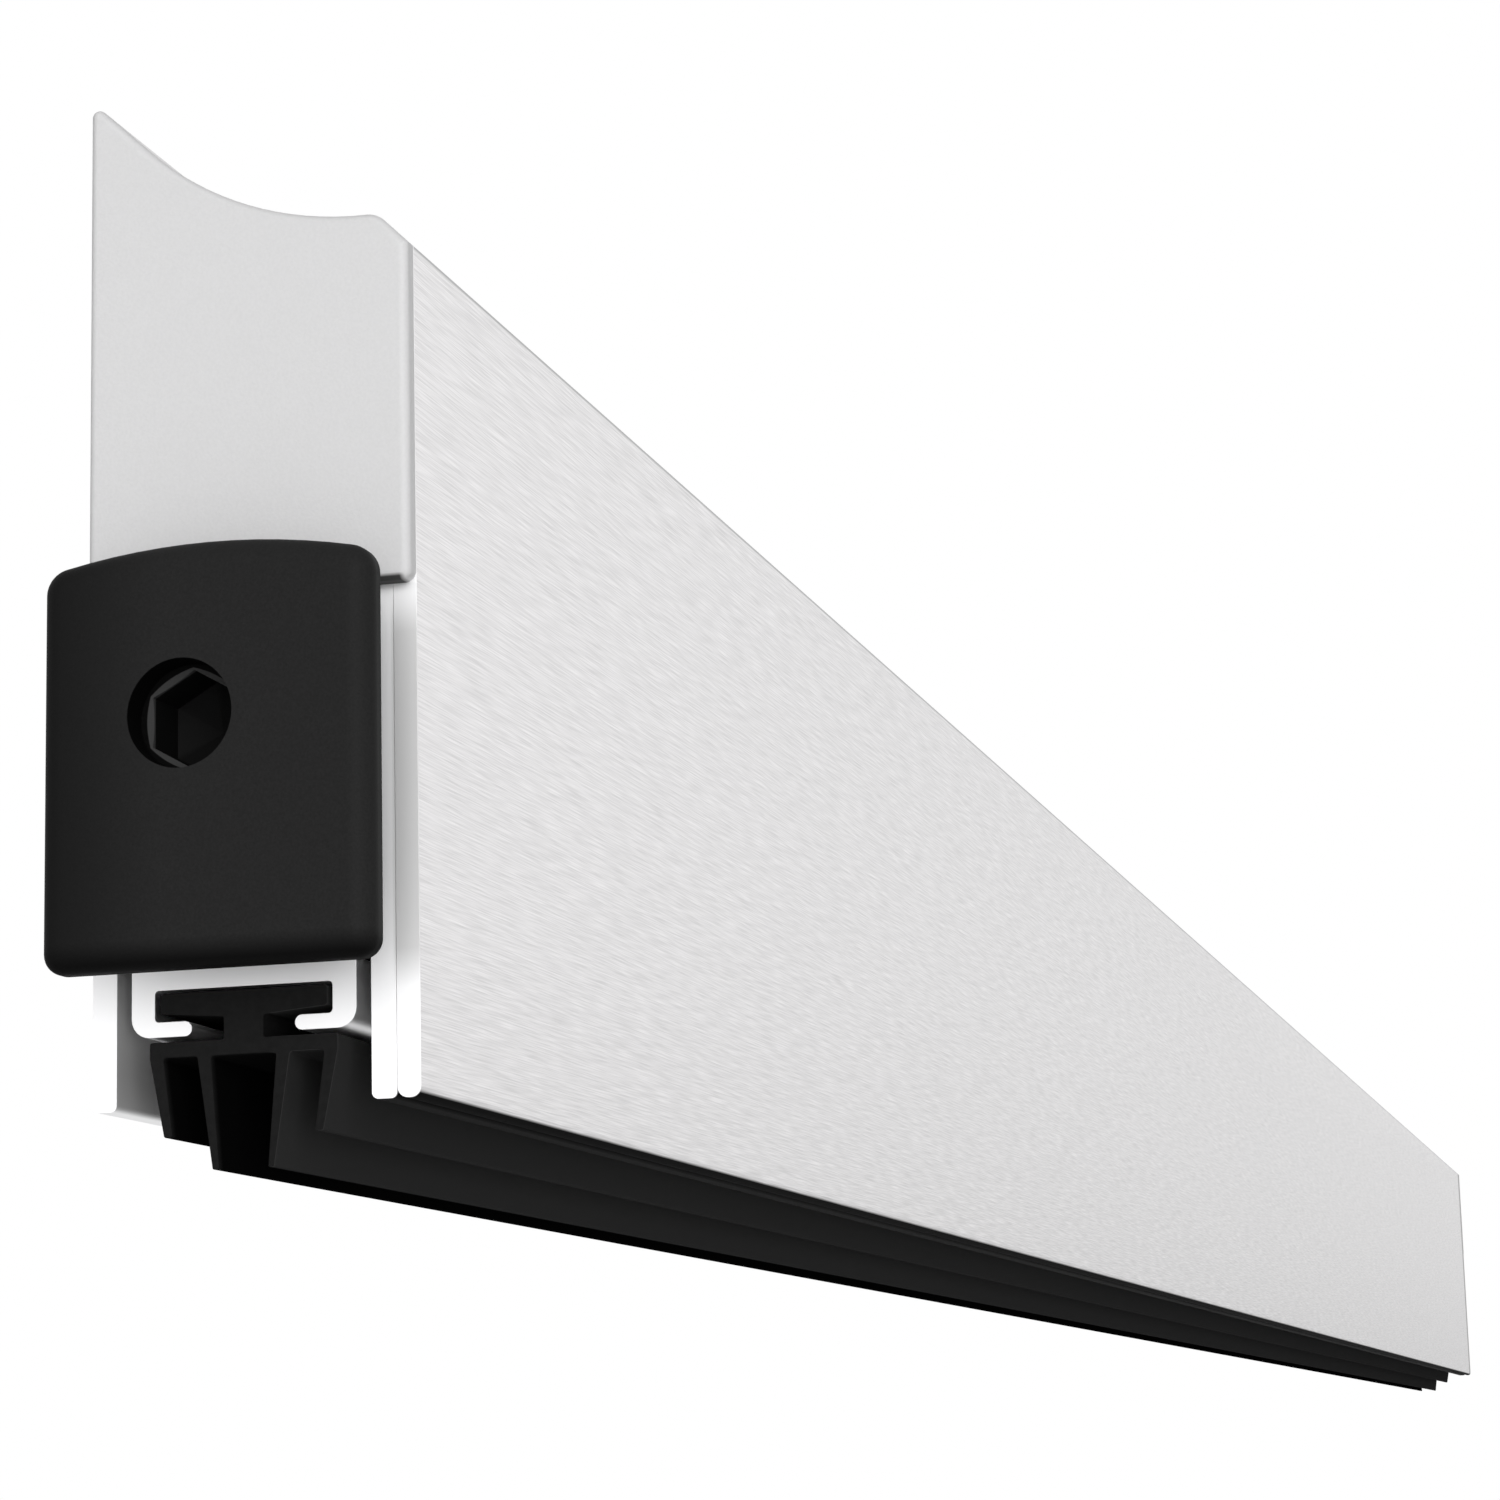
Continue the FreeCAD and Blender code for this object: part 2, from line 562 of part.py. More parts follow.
# Cover: hooks over the flange at the door and clips on the housing's room wall
def make_cover():
    body = new_body("cover")
    inner = "seal_width - cover_wall"
    rib = "clip_width - 2 * cover_gap"
    rib_low, rib_high = f"clip_height - ({rib}) / 2", f"clip_height + ({rib}) / 2"
    rib_face = "room_face - clip_depth + cover_gap"
    under = "sweep_top + (sweep_end - hook_inner) * tan(sweep_angle) - cover_below"
    centre = ("seal_width - chamfer - chamfer_land", "sweep_low + sweep_radius")
    outline = [("seal_width", "0")] + cover_outline() + [
        ("0", "flange_height + hook_gap"),
        ("hook_start", "flange_height + hook_gap"),
        ("hook_start", "flange_height - hook_drop"),
        ("hook_inner", "flange_height - hook_drop"),
        ("hook_inner", under),
        ("inner_sweep_depth", "inner_sweep_height", ("sweep_radius + cover_wall", centre)),
        ("seal_width - chamfer + cover_wall * (1 - sqrt(2))", "sweep_low - cover_wall"),
        (inner, "cover_face_top - cover_wall * (sqrt(2) - 1)"),
        (inner, rib_high),
        (rib_face, rib_high),
        (rib_face, rib_low),
        (inner, rib_low),
        (inner, "0"),
    ]
    extrude(body, "shell", "YZ_Plane", "0", "housing_length", [outline])
    round_edges(body, "lower_edge", "cover_round", ridges([("seal_width", "0"), (inner, "0")]))
    round_edges(body, "peak_edge", "tip_round", ridges([("0", "peak")]))
    round_edges(body, "chamfer_edge", "chamfer_round", ridges([("seal_width - chamfer", "sweep_low")]))


# End cap: a plate with the cover's outline, and a hollow plug in the upper chamber
def make_end_cap(name, plate_start, plug_start, outer_face):
    body = new_body(name)
    outline = [("seal_width", "cap_low")] + cover_outline() + [("0", "cap_low")]
    extrude(body, "plate", "YZ_Plane", plate_start, "cap_plate", [outline])
    round_edges(body, "peak_edge", "tip_round", ridges([("0", "peak")]))
    round_edges(body, "chamfer_edge", "chamfer_round", ridges([("seal_width - chamfer", "sweep_low")]))
    round_edges(body, "lower_corners", "cap_low_round", ridges([("seal_width", "cap_low"), ("0", "cap_low")]))
    round_edges(body, "outer_rim", "cap_round", rim(outer_face))
    door_side, room_side = "wall + plug_play", "cavity_room - plug_play"
    low = "web_top + plug_play"
    outside = box_loop(door_side, room_side, low, "plug_top")
    hollow = box_loop(
        f"{door_side} + plug_wall", f"{room_side} - plug_wall", f"{low} + plug_wall", "plug_top - plug_wall"
    )
    extrude(body, "plug", "YZ_Plane", plug_start, "plug_length", [outside, hollow])


# Plunger: the plate that the door frame presses, and the hollow body that slides in the housing
def make_plunger():
    body = new_body("plunger")
    crown_centre = ("plunger_door_gap + crown_half", "plunger_shoulder + plunger_crown - crown_radius")
    plate = [
        ("plunger_door_gap", "plunger_low"),
        ("plunger_room_side", "plunger_low"),
        ("plunger_room_side", "plunger_shoulder", ("crown_radius", crown_centre)),
        ("plunger_door_gap", "plunger_shoulder"),
    ]
    extrude(body, "plate", "YZ_Plane", "0 - plunger_front", "plunger_plate", [plate])
    shoulders = [("plunger_door_gap", "plunger_shoulder"), ("plunger_room_side", "plunger_shoulder")]
    feet = [("plunger_door_gap", "plunger_low"), ("plunger_room_side", "plunger_low")]
    round_edges(body, "upper_corners", "plunger_top_round", ridges(shoulders))
    round_edges(body, "lower_corners", "plunger_low_round", ridges(feet))
    round_edges(body, "front_rim", "plunger_edge", rim("0 - plunger_front"))
    block = box_loop(
        "wall + slide_play", "cavity_room - slide_play", "plunger_body_low", "cap_low - slide_play"
    )
    extrude(body, "body", "YZ_Plane", "plate_back", "plunger_body_length", [block])
    axis = ("rod_depth", "rod_height")
    half = "rod_end_side / 2 + slide_play"
    pocket = box_loop(
        f"rod_depth - ({half})", f"rod_depth + ({half})", f"rod_height - ({half})", f"rod_height + ({half})"
    )
    cut_out(body, "rod_pocket", "YZ_Plane", "pocket_start", "plunger_body_end - (pocket_start)", [pocket])
    cut_out(body, "ring_seat", "YZ_Plane", "retainer_start", "retainer_ring",
            [("circle", axis, "retainer_size / 2")])
    cut_out(body, "head_bore", "YZ_Plane", "plate_back", "retainer_start - plate_back",
            [("circle", axis, "screw_head / 2 + fit_play")])
    cut_out(body, "key_hole", "YZ_Plane", "0 - plunger_front", "plunger_plate",
            [("circle", axis, "key_hole / 2")])


# Screw retainer: the ring that is pressed in behind the screw's head
def make_retainer():
    body = new_body("screw_retainer")
    axis = ("rod_depth", "rod_height")
    loops = [
        ("circle", axis, "retainer_size / 2 - press_play"),
        ("circle", axis, "screw_shank / 2 + fit_play"),
    ]
    extrude(body, "ring", "YZ_Plane", "retainer_start", "retainer_ring", loops)


# Adjusting screw: hexagon socket in the head, shank in the rod end
def make_adjusting_screw():
    body = new_body("adjusting_screw")
    axis = ("rod_depth", "rod_height")
    extrude(body, "head", "YZ_Plane", "screw_face", "screw_head_length", [("circle", axis, "screw_head / 2")])
    extrude(body, "shank", "YZ_Plane", "screw_head_end", "screw_end - (screw_head_end)",
            [("circle", axis, "screw_shank / 2")])
    corner = "socket_flats / sqrt(3)"
    hexagon = [
        (f"rod_depth + {corner} * sin({60 * step})", f"rod_height + {corner} * cos({60 * step})")
        for step in range(6)
    ]
    cut_out(body, "socket", "YZ_Plane", "screw_face", "socket_depth", [hexagon])
    bevel_edges(body, "point", "screw_point", rim("screw_end"))
    at_face = rim("screw_face")

    def at_mouth(edge):
        return at_face(edge) and edge.BoundBox.ZLength < value("socket_flats")

    bevel_edges(body, "socket_mouth", "socket_chamfer", at_mouth)


# The tongue that fills the rod's channel at one end
def tongue_loop():
    return box_loop(
        "rod_door_side + rod_wall + tongue_play",
        "rod_room_side - rod_wall - tongue_play",
        "rod_low",
        "rod_top - rod_wall - tongue_play",
    )


# Rod end: square block bored for the adjusting screw, with a tongue in the push rod
def make_rod_end():
    body = new_body("rod_end")
    half = "rod_end_side / 2"
    block = box_loop(
        f"rod_depth - {half}", f"rod_depth + {half}", f"rod_height - {half}", f"rod_height + {half}"
    )
    extrude(body, "block", "YZ_Plane", "rod_end_start", "rod_end_length", [block])
    extrude(body, "tongue", "YZ_Plane", "tongue_start", "tongue_length", [tongue_loop()])
    cut_out(body, "bore", "YZ_Plane", "rod_end_start", "rod_end_bore",
            [("circle", ("rod_depth", "rod_height"), "screw_shank / 2 + fit_play")])
    cut_out(body, "rivet_hole", "XZ_Plane", "rod_door_side", "rod_width",
            [("circle", ("near_rivet", "rod_height"), "rivet_shank / 2 + press_play")])


# Rod tail: bears on the return spring and slides on its guide pin
def make_rod_tail():
    body = new_body("rod_tail")
    half = "rod_end_side / 2"
    block = box_loop(
        f"rod_depth - {half}", f"rod_depth + {half}", f"rod_height - {half}", f"rod_height + {half}"
    )
    extrude(body, "block", "YZ_Plane", "tail_start", "rod_tail_length", [block])
    extrude(body, "tongue", "YZ_Plane", "tail_start - tongue_length", "tongue_length", [tongue_loop()])
    cut_out(body, "pin_hole", "YZ_Plane", "tail_start - tongue_length", "tongue_length + rod_tail_length",
            [("circle", ("rod_depth", "rod_height"), "spring_pin / 2 + fit_play")])


# Push rod: channel that is open below, with cross holes for its pins
def make_push_rod():
    body = new_body("push_rod")
    outline = [
        ("rod_door_side", "rod_low"),
        ("rod_door_side + rod_wall", "rod_low"),
        ("rod_door_side + rod_wall", "rod_top - rod_wall"),
        ("rod_room_side - rod_wall", "rod_top - rod_wall"),
        ("rod_room_side - rod_wall", "rod_low"),
        ("rod_room_side", "rod_low"),
        ("rod_room_side", "rod_top"),
        ("rod_door_side", "rod_top"),
    ]
    extrude(body, "channel", "YZ_Plane", "rod_start", "rod_finish - (rod_start)", [outline])
    bends = [("rod_door_side", "rod_top"), ("rod_room_side", "rod_top")]
    round_edges(body, "bends", "rod_bend", ridges(bends))
    driven = [
        ("circle", (f"{station} - plunger_travel / 2", "rod_height"), "drive_pin / 2 + press_play")
        for station in ("near_station", "far_station")
    ]
    riveted = [("circle", ("near_rivet", "rod_height"), "rivet_shank / 2 + press_play")]
    cut_out(body, "cross_holes", "XZ_Plane", "rod_door_side", "rod_width", driven + riveted)


# Points round the spring's wire after so many turns, in a section square to the wire
def wire_ring(turn, coil, wire, pitch):
    angle = 2 * math.pi * turn
    slope = math.atan2(pitch, 2 * math.pi * coil)
    outward = FreeCAD.Vector(math.cos(angle), math.sin(angle), 0)
    onward = FreeCAD.Vector(-outward.y, outward.x, math.tan(slope)).normalize()
    upward = outward.cross(onward)
    middle = outward * coil + FreeCAD.Vector(0, 0, pitch * turn)
    spokes = [2 * math.pi * step / SPRING_STEPS for step in range(SPRING_STEPS + 1)]
    return [middle + (outward * math.cos(spoke) + upward * math.sin(spoke)) * wire for spoke in spokes]


# Return spring: round wire wound between the rod tail and the far guide block, one face a turn
def make_return_spring():
    wire = value("spring_wire / 2")
    coil = value("spring_coil / 2")
    turns = round(value("spring_turns"))
    pitch = value("spring_length - spring_wire - 2 * spring_seat_gap") / turns
    faces = []
    for turn in range(turns):
        skin = Part.BSplineSurface()
        skin.interpolate([
            wire_ring(turn + step / SPRING_STEPS, coil, wire, pitch) for step in range(SPRING_STEPS + 1)
        ])
        faces.append(skin.toShape())
    for skin, end in ((faces[0].Surface, 0), (faces[-1].Surface, 1)):
        faces.append(Part.Face(Part.Wire([skin.uIso(skin.bounds()[end]).toShape()])))
    shell = Part.makeShell(faces)
    shell.sewShape()
    spring = Part.makeSolid(shell)
    if spring.Volume < 0:
        spring.reverse()
    piece = doc.addObject("Part::Feature", "return_spring")
    piece.Shape = spring
    piece.Label = "return_spring"
    piece.Placement = FreeCAD.Placement(FreeCAD.Vector(), TURNS["along"])
    place_in_frame(piece, ("spring_start + spring_seat_gap + spring_wire / 2", "rod_depth", "rod_height"))
    PARTS.append(piece)


# Guide block: fills the housing's cavity, guides a post of the carrier bar and takes a screw from above
def make_guide_block(name, start, length, post):
    body = new_body(name)
    block = box_loop(
        "wall + block_play", "cavity_room - block_play", "block_low", "cavity_height - block_play"
    )
    extrude(body, "block", "YZ_Plane", start, length, [block])
    round_edges(body, "lower_edges", "block_round", ridges(
        [("wall + block_play", "block_low"), ("cavity_room - block_play", "block_low")]))
    cut_out(body, "post_hole", "XY_Plane", "block_low", "cavity_height - block_play - block_low",
            [("circle", (post, "post_depth"), "post_size / 2 + fit_play")])
    cut_out(body, "screw_hole", "XY_Plane", "cavity_height - block_play - block_screw_reach",
            "block_screw_reach",
            [("circle", (f"{post} - block_screw_offset", "block_screw_depth"),
              "block_screw / 2 + press_play")])
    return body


def make_guide_blocks():
    near = make_guide_block("guide_block_near", "near_block_start", "near_block_length", "near_post")
    window = box_loop(
        "rod_door_side - window_play", "rod_room_side + window_play",
        "rod_low - window_play", "rod_top + window_play",
    )
    cut_out(near, "rod_window", "YZ_Plane", "near_block_start", "near_block_length", [window])
    far = make_guide_block("guide_block_far", "far_block_start", "far_block_length", "far_post")
    cut_out(far, "pin_hole", "YZ_Plane", "far_block_start", "spring_pin_sunk",
            [("circle", ("rod_depth", "rod_height"), "spring_pin / 2 + press_play")])
    screws = [
        stacked(
            f"block_screw_{number}",
            [("block_screw", "block_screw_reach + block_play + web - press_play"),
             ("block_screw_head", "block_screw_head_height")],
            (f"{post} - block_screw_offset", "block_screw_depth",
             "cavity_height - block_play - block_screw_reach + press_play"),
            "up",
        )
        for number, post in enumerate(("near_post", "far_post"))
    ]
    group("block_screws", screws)


# Lever bracket: folded sheet under the web, whose cheeks carry the pivot pin
def make_lever_bracket(name, station):
    body = new_body(name)
    door_side, room_side = "wall + block_play", "cavity_room - block_play"
    top = "cavity_height - bracket_play"
    outline = [
        (door_side, "pivot_height - bracket_below"),
        (f"{door_side} + bracket_sheet", "pivot_height - bracket_below"),
        (f"{door_side} + bracket_sheet", f"{top} - bracket_sheet"),
        (f"{room_side} - bracket_sheet", f"{top} - bracket_sheet"),
        (f"{room_side} - bracket_sheet", "pivot_height - bracket_below"),
        (room_side, "pivot_height - bracket_below"),
        (room_side, top),
        (door_side, top),
    ]
    extrude(body, "fold", "YZ_Plane", f"{station} - bracket_length / 2", "bracket_length", [outline])
    round_edges(body, "bends", "bracket_bend", ridges([(door_side, top), (room_side, top)]))
    cut_out(body, "pivot_holes", "XZ_Plane", door_side, f"{room_side} - ({door_side})",
            [("circle", (station, "pivot_height"), "pivot_pin / 2 + press_play")])
    holes = [
        ("circle", (f"{station} + ({side}) * bracket_rivet_spread", "cavity_middle"),
         "bracket_rivet / 2 + fit_play")
        for side in ("-1", "1")
    ]
    cut_out(body, "rivet_holes", "XY_Plane", f"{top} - bracket_sheet", "bracket_sheet", holes)


# Lever: hub, short forked arm up to the drive pin and long slotted arm to the hanger pin
# It is drawn at mid travel about its pivot and turned back to its rest position
def make_lever(name, station):
    body = new_body(name, (station, "0", "pivot_height"))
    rest_turn = math.degrees(math.atan(value("lever_slope")))
    body.Placement.Rotation = FreeCAD.Rotation(FreeCAD.Vector(0, -1, 0), rest_turn)
    side = "rod_depth - lever_thick / 2"
    arm = "lever_arm / 2"
    fork_top = "lever_rise * lever_stretch + fork_reach"
    reach_near, reach_far = "lever_reach", "lever_reach * lever_stretch"
    tip = f"{reach_far} + lever_end"
    cheek = "wall + block_play + bracket_sheet + lever_side_play"
    hub_length = f"cavity_room + wall - 2 * ({cheek})"
    extrude(body, "hub", "XZ_Plane", cheek, hub_length, [("circle", ("0", "0"), "lever_hub / 2")])
    crank = [
        ("0", f"0 - {arm}"),
        (tip, f"0 - {arm}"),
        (tip, arm),
        (arm, arm),
        (arm, fork_top),
        (f"0 - {arm}", fork_top),
        (f"0 - {arm}", "0"),
    ]
    extrude(body, "crank", "XZ_Plane", side, "lever_thick", [crank])
    slot = "drive_pin / 2 + slot_play"
    cut_out(body, "fork", "XZ_Plane", side, "lever_thick", [box_loop(
        f"0 - ({slot})", slot, f"lever_rise - ({slot})", fork_top)])
    cut_out(body, "slot", "XZ_Plane", side, "lever_thick", [box_loop(
        f"{reach_near} - ({slot})", f"{reach_far} + {slot}", f"0 - ({slot})", slot)])
    cut_out(body, "bore", "XZ_Plane", cheek, hub_length, [("circle", ("0", "0"), "pivot_pin / 2 + fit_play")])
    corners = [(value(tip), -value(arm)), (value(tip), value(arm))]

    def arm_corner(edge):
        first, last = edge.Vertexes[0].Point, edge.Vertexes[-1].Point
        if abs(first.x - last.x) > NEAR or abs(first.z - last.z) > NEAR:
            return False
        return any(abs(first.x - x) < NEAR and abs(first.z - z) < NEAR for x, z in corners)

    round_edges(body, "arm_corners", "lever_arm * arm_round_ratio", arm_corner)


# Hanger: folded ears on the carrier bar that hold the hanger pin either side of the lever
def make_hanger(name, station):
    body = new_body(name)
    middle = f"{station} + lever_reach"
    base = box_loop(
        f"{middle} - hanger_length / 2", f"{middle} + hanger_length / 2", "ear_door_side", "ear_room_side"
    )
    extrude(body, "base", "XY_Plane", "bar_top", "hanger_sheet", [base])
    ear = [
        (f"{middle} - hanger_ear", "bar_top"),
        (f"{middle} + hanger_ear", "bar_top"),
        (f"{middle} + hanger_ear", "hanger_height + hanger_ear"),
        (f"{middle} - hanger_ear", "hanger_height + hanger_ear"),
    ]
    extrude(body, "door_ear", "XZ_Plane", "ear_door_side", "hanger_sheet", [ear])
    extrude(body, "room_ear", "XZ_Plane", "ear_room_side - hanger_sheet", "hanger_sheet", [ear])
    top = value("hanger_height + hanger_ear")

    def ear_corner(edge):
        first, last = edge.Vertexes[0].Point, edge.Vertexes[-1].Point
        level = abs(first.z - top) < NEAR and abs(last.z - top) < NEAR
        return level and abs(first.x - last.x) < NEAR

    round_edges(body, "ear_corners", "hanger_ear * ear_round_ratio", ear_corner)
    cut_out(body, "pin_holes", "XZ_Plane", "ear_door_side", "ear_room_side - (ear_door_side)",
            [("circle", (middle, "hanger_height"), "drive_pin / 2 + press_play")])
    holes = [
        ("circle", (f"{middle} + ({side}) * hanger_rivet_spread", "rod_depth"),
         "hanger_rivet / 2 + press_play")
        for side in ("-1", "1")
    ]
    cut_out(body, "rivet_holes", "XY_Plane", "bar_top", "hanger_sheet", holes)


# The two lever stations: brackets, levers, hangers and their pins
def make_lever_stations():
    bracket_rivets, hanger_rivets = [], []
    for end, station in (("near", "near_station"), ("far", "far_station")):
        make_lever_bracket(f"lever_bracket_{end}", station)
        make_lever(f"lever_{end}", station)
        make_hanger(f"hanger_{end}", station)
        pin(f"pivot_pin_{end}", "pivot_pin", "cavity_room - wall - 2 * block_play",
            (station, "wall + block_play", "pivot_height"), "into_room")
        pin(f"drive_pin_{end}", "drive_pin", "rod_width + 2 * pin_proud",
            (f"{station} - plunger_travel / 2", "rod_door_side - pin_proud", "rod_height"), "into_room")
        pin(f"hanger_pin_{end}", "drive_pin", "ear_room_side - (ear_door_side) + 2 * pin_proud",
            (f"{station} + lever_reach", "ear_door_side - pin_proud", "hanger_height"), "into_room")
        for number, side in enumerate(("-1", "1")):
            bracket_rivets.append(stacked(
                f"bracket_rivet_{end}_{number}",
                [("bracket_rivet_head", "bracket_rivet_head_height"),
                 ("bracket_rivet", "bracket_sheet + bracket_play + web"),
                 ("bracket_rivet_head", "bracket_rivet_head_height")],
                (f"{station} + ({side}) * bracket_rivet_spread", "cavity_middle",
                 "cavity_height - bracket_play - bracket_sheet - bracket_rivet_head_height"),
                "up",
            ))
            hanger_rivets.append(stacked(
                f"hanger_rivet_{end}_{number}",
                [("hanger_rivet", "bar_wall + hanger_sheet"),
                 ("hanger_rivet_head", "rivet_head_height")],
                (f"{station} + lever_reach + ({side}) * hanger_rivet_spread", "rod_depth", "bar_inner_top"),
                "up",
            ))
    group("bracket_rivets", bracket_rivets)
    group("hanger_rivets", hanger_rivets)


# Carrier bar: C-section, open below for the rubber's neck
def make_carrier_bar():
    body = new_body("carrier_bar")
    half_slot = "bar_slot / 2"
    outline = [
        ("bar_door_side", "bar_low"),
        (f"cavity_middle - {half_slot}", "bar_low"),
        (f"cavity_middle - {half_slot}", "bar_low + bar_lip"),
        ("bar_door_side + bar_wall", "bar_low + bar_lip"),
        ("bar_door_side + bar_wall", "bar_inner_top"),
        ("bar_room_side - bar_wall", "bar_inner_top"),
        ("bar_room_side - bar_wall", "bar_low + bar_lip"),
        (f"cavity_middle + {half_slot}", "bar_low + bar_lip"),
        (f"cavity_middle + {half_slot}", "bar_low"),
        ("bar_room_side", "bar_low"),
        ("bar_room_side", "bar_top"),
        ("bar_door_side", "bar_top"),
    ]
    extrude(body, "section", "YZ_Plane", "0", "housing_length", [outline])
    lower = [("bar_door_side", "bar_low"), ("bar_room_side", "bar_low")]
    lips = [
        (f"cavity_middle {sign} {half_slot}", height)
        for sign in ("-", "+") for height in ("bar_low", "bar_low + bar_lip")
    ]
    round_edges(body, "lower_corners", "bar_round", ridges(lower))
    round_edges(body, "lips", "bar_lip * lip_round_ratio", ridges(lips))
    upper = [("bar_door_side", "bar_top"), ("bar_room_side", "bar_top")]
    round_edges(body, "upper_corners", "edge_round", ridges(upper))
    riveted = [
        ("circle", (f"{station} + lever_reach + ({side}) * hanger_rivet_spread", "rod_depth"),
         "hanger_rivet / 2 + press_play")
        for station in ("near_station", "far_station") for side in ("-1", "1")
    ]
    posts = [
        ("circle", (post, "post_depth"), "spigot_size / 2 + press_play") for post in ("near_post", "far_post")
    ]
    cut_out(body, "top_holes", "XY_Plane", "bar_inner_top", "bar_wall", riveted + posts)


# Guide posts: stand on the carrier bar and slide in the guide blocks
def make_guide_posts():
    for end in ("near", "far"):
        post = stacked(
            f"guide_post_{end}",
            [("spigot_size", "bar_wall"), ("post_size", "post_length")],
            (f"{end}_post", "post_depth", "bar_inner_top"),
            "up",
        )
        post.Label = f"guide_post_{end}"
        PARTS.append(post)


# Rubber seal: T head in the bar, neck, flange and four fins that lean inwards
def make_rubber_seal():
    body = new_body("rubber_seal")
    room_side = [
        ("head_width / 2", "bar_inner_top - head_play"),
        ("head_width / 2", "head_low"),
        ("neck_width / 2", "head_neck_low"),
        ("neck_width / 2", "flange_top"),
        ("flange_width / 2", "flange_top"),
        ("flange_width / 2", "flange_low"),
        ("flange_width / 2 - outer_fin_lean", "0 - outer_fin_low"),
        ("flange_width / 2 - outer_fin_lean - outer_fin_tip", "0 - outer_fin_low"),
        ("flange_width / 2 - outer_fin_root", "flange_low"),
        ("inner_fin_place", "flange_low"),
        ("inner_fin_place - inner_fin_lean", "0 - inner_fin_low"),
        ("inner_fin_place - inner_fin_lean - inner_fin_tip", "0 - inner_fin_low"),
        ("inner_fin_place - inner_fin_root", "flange_low"),
    ]
    outline = [(f"cavity_middle + ({across})", height) for across, height in room_side]
    outline += [(f"cavity_middle - ({across})", height) for across, height in reversed(room_side)]
    extrude(body, "section", "YZ_Plane", "0", "housing_length", [outline])


def make_rod_rivets():
    rivets = [stacked(
        "rod_rivet",
        [("rivet_head", "rivet_head_height"), ("rivet_shank", "rod_width"), ("rivet_head", "rivet_head_height")],
        ("near_rivet", "rod_door_side - rivet_head_height", "rod_height"),
        "into_room",
    )]
    group("rod_rivets", rivets)


make_housing()
make_cover()
make_end_cap("end_cap_near", "0 - cap_plate", "0", "0 - cap_plate")
make_end_cap("end_cap_far", "housing_length", "housing_length - plug_length", "housing_length + cap_plate")
make_plunger()
make_retainer()
make_adjusting_screw()
make_rod_end()
make_push_rod()
make_rod_tail()
make_rod_rivets()
make_return_spring()
pin("spring_guide_pin", "spring_pin", "spring_pin_sunk + spring_length + rod_tail_length + spring_pin_reach",
    ("tail_start - spring_pin_reach", "rod_depth", "rod_height"), "along")
make_guide_blocks()
make_lever_stations()
make_carrier_bar()
make_guide_posts()
make_rubber_seal()
doc.recompute()

for piece in doc.Objects:
    if "Invalid" in piece.State or "Error" in piece.State:
        raise RuntimeError(f"{piece.Label} failed: {piece.State}")
for piece in PARTS:
    if piece.Shape.isNull() or not piece.Shape.isValid():
        raise RuntimeError(f"{piece.Label} has no valid shape")

os.makedirs("parts", exist_ok=True)
for piece in PARTS:
    piece.Shape.exportStep(f"parts/{piece.Label}.step")
print(f"{len(PARTS)} sub-parts written")
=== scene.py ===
import json
import logging
import math
from dataclasses import dataclass
from enum import Enum

import bmesh
import bpy
import numpy as np
from mathutils import Matrix, Vector


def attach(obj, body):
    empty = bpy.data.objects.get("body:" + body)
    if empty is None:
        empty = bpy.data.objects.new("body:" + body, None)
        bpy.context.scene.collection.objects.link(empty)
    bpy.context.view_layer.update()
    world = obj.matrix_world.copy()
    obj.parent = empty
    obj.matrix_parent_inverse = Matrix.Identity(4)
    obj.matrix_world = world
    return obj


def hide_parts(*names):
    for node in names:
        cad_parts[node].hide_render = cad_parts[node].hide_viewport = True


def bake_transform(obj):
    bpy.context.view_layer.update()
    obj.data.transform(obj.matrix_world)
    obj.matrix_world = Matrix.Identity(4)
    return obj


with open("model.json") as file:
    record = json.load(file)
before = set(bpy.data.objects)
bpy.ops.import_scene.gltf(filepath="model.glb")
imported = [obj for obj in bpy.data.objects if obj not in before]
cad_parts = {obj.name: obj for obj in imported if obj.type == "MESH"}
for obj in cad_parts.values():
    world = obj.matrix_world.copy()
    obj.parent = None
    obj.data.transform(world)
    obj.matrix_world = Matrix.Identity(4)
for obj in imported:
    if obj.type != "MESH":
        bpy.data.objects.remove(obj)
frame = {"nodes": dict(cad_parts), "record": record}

LOG = logging.getLogger("door_bottom_seal")
MM = 0.001

# The part of a noise's range that holds most of its values, and how many finer layers it has
MARKS_FROM, MARKS_TO = 0.3, 0.7
MARKS_DETAIL = 3.0

# How many times longer than wide the lengthwise and the drawn marks are
LENGTHWISE_RUN, DRAWN_RUN = 60, 12

# Edges sharper than this are shaded as edges
SHARP = math.radians(26)


class Pattern(Enum):
    """The ways in which a surface's fine marks can run."""

    LENGTHWISE = "lengthwise"
    GRAINED = "grained"
    DRAWN = "drawn"
    SPANGLED = "spangled"


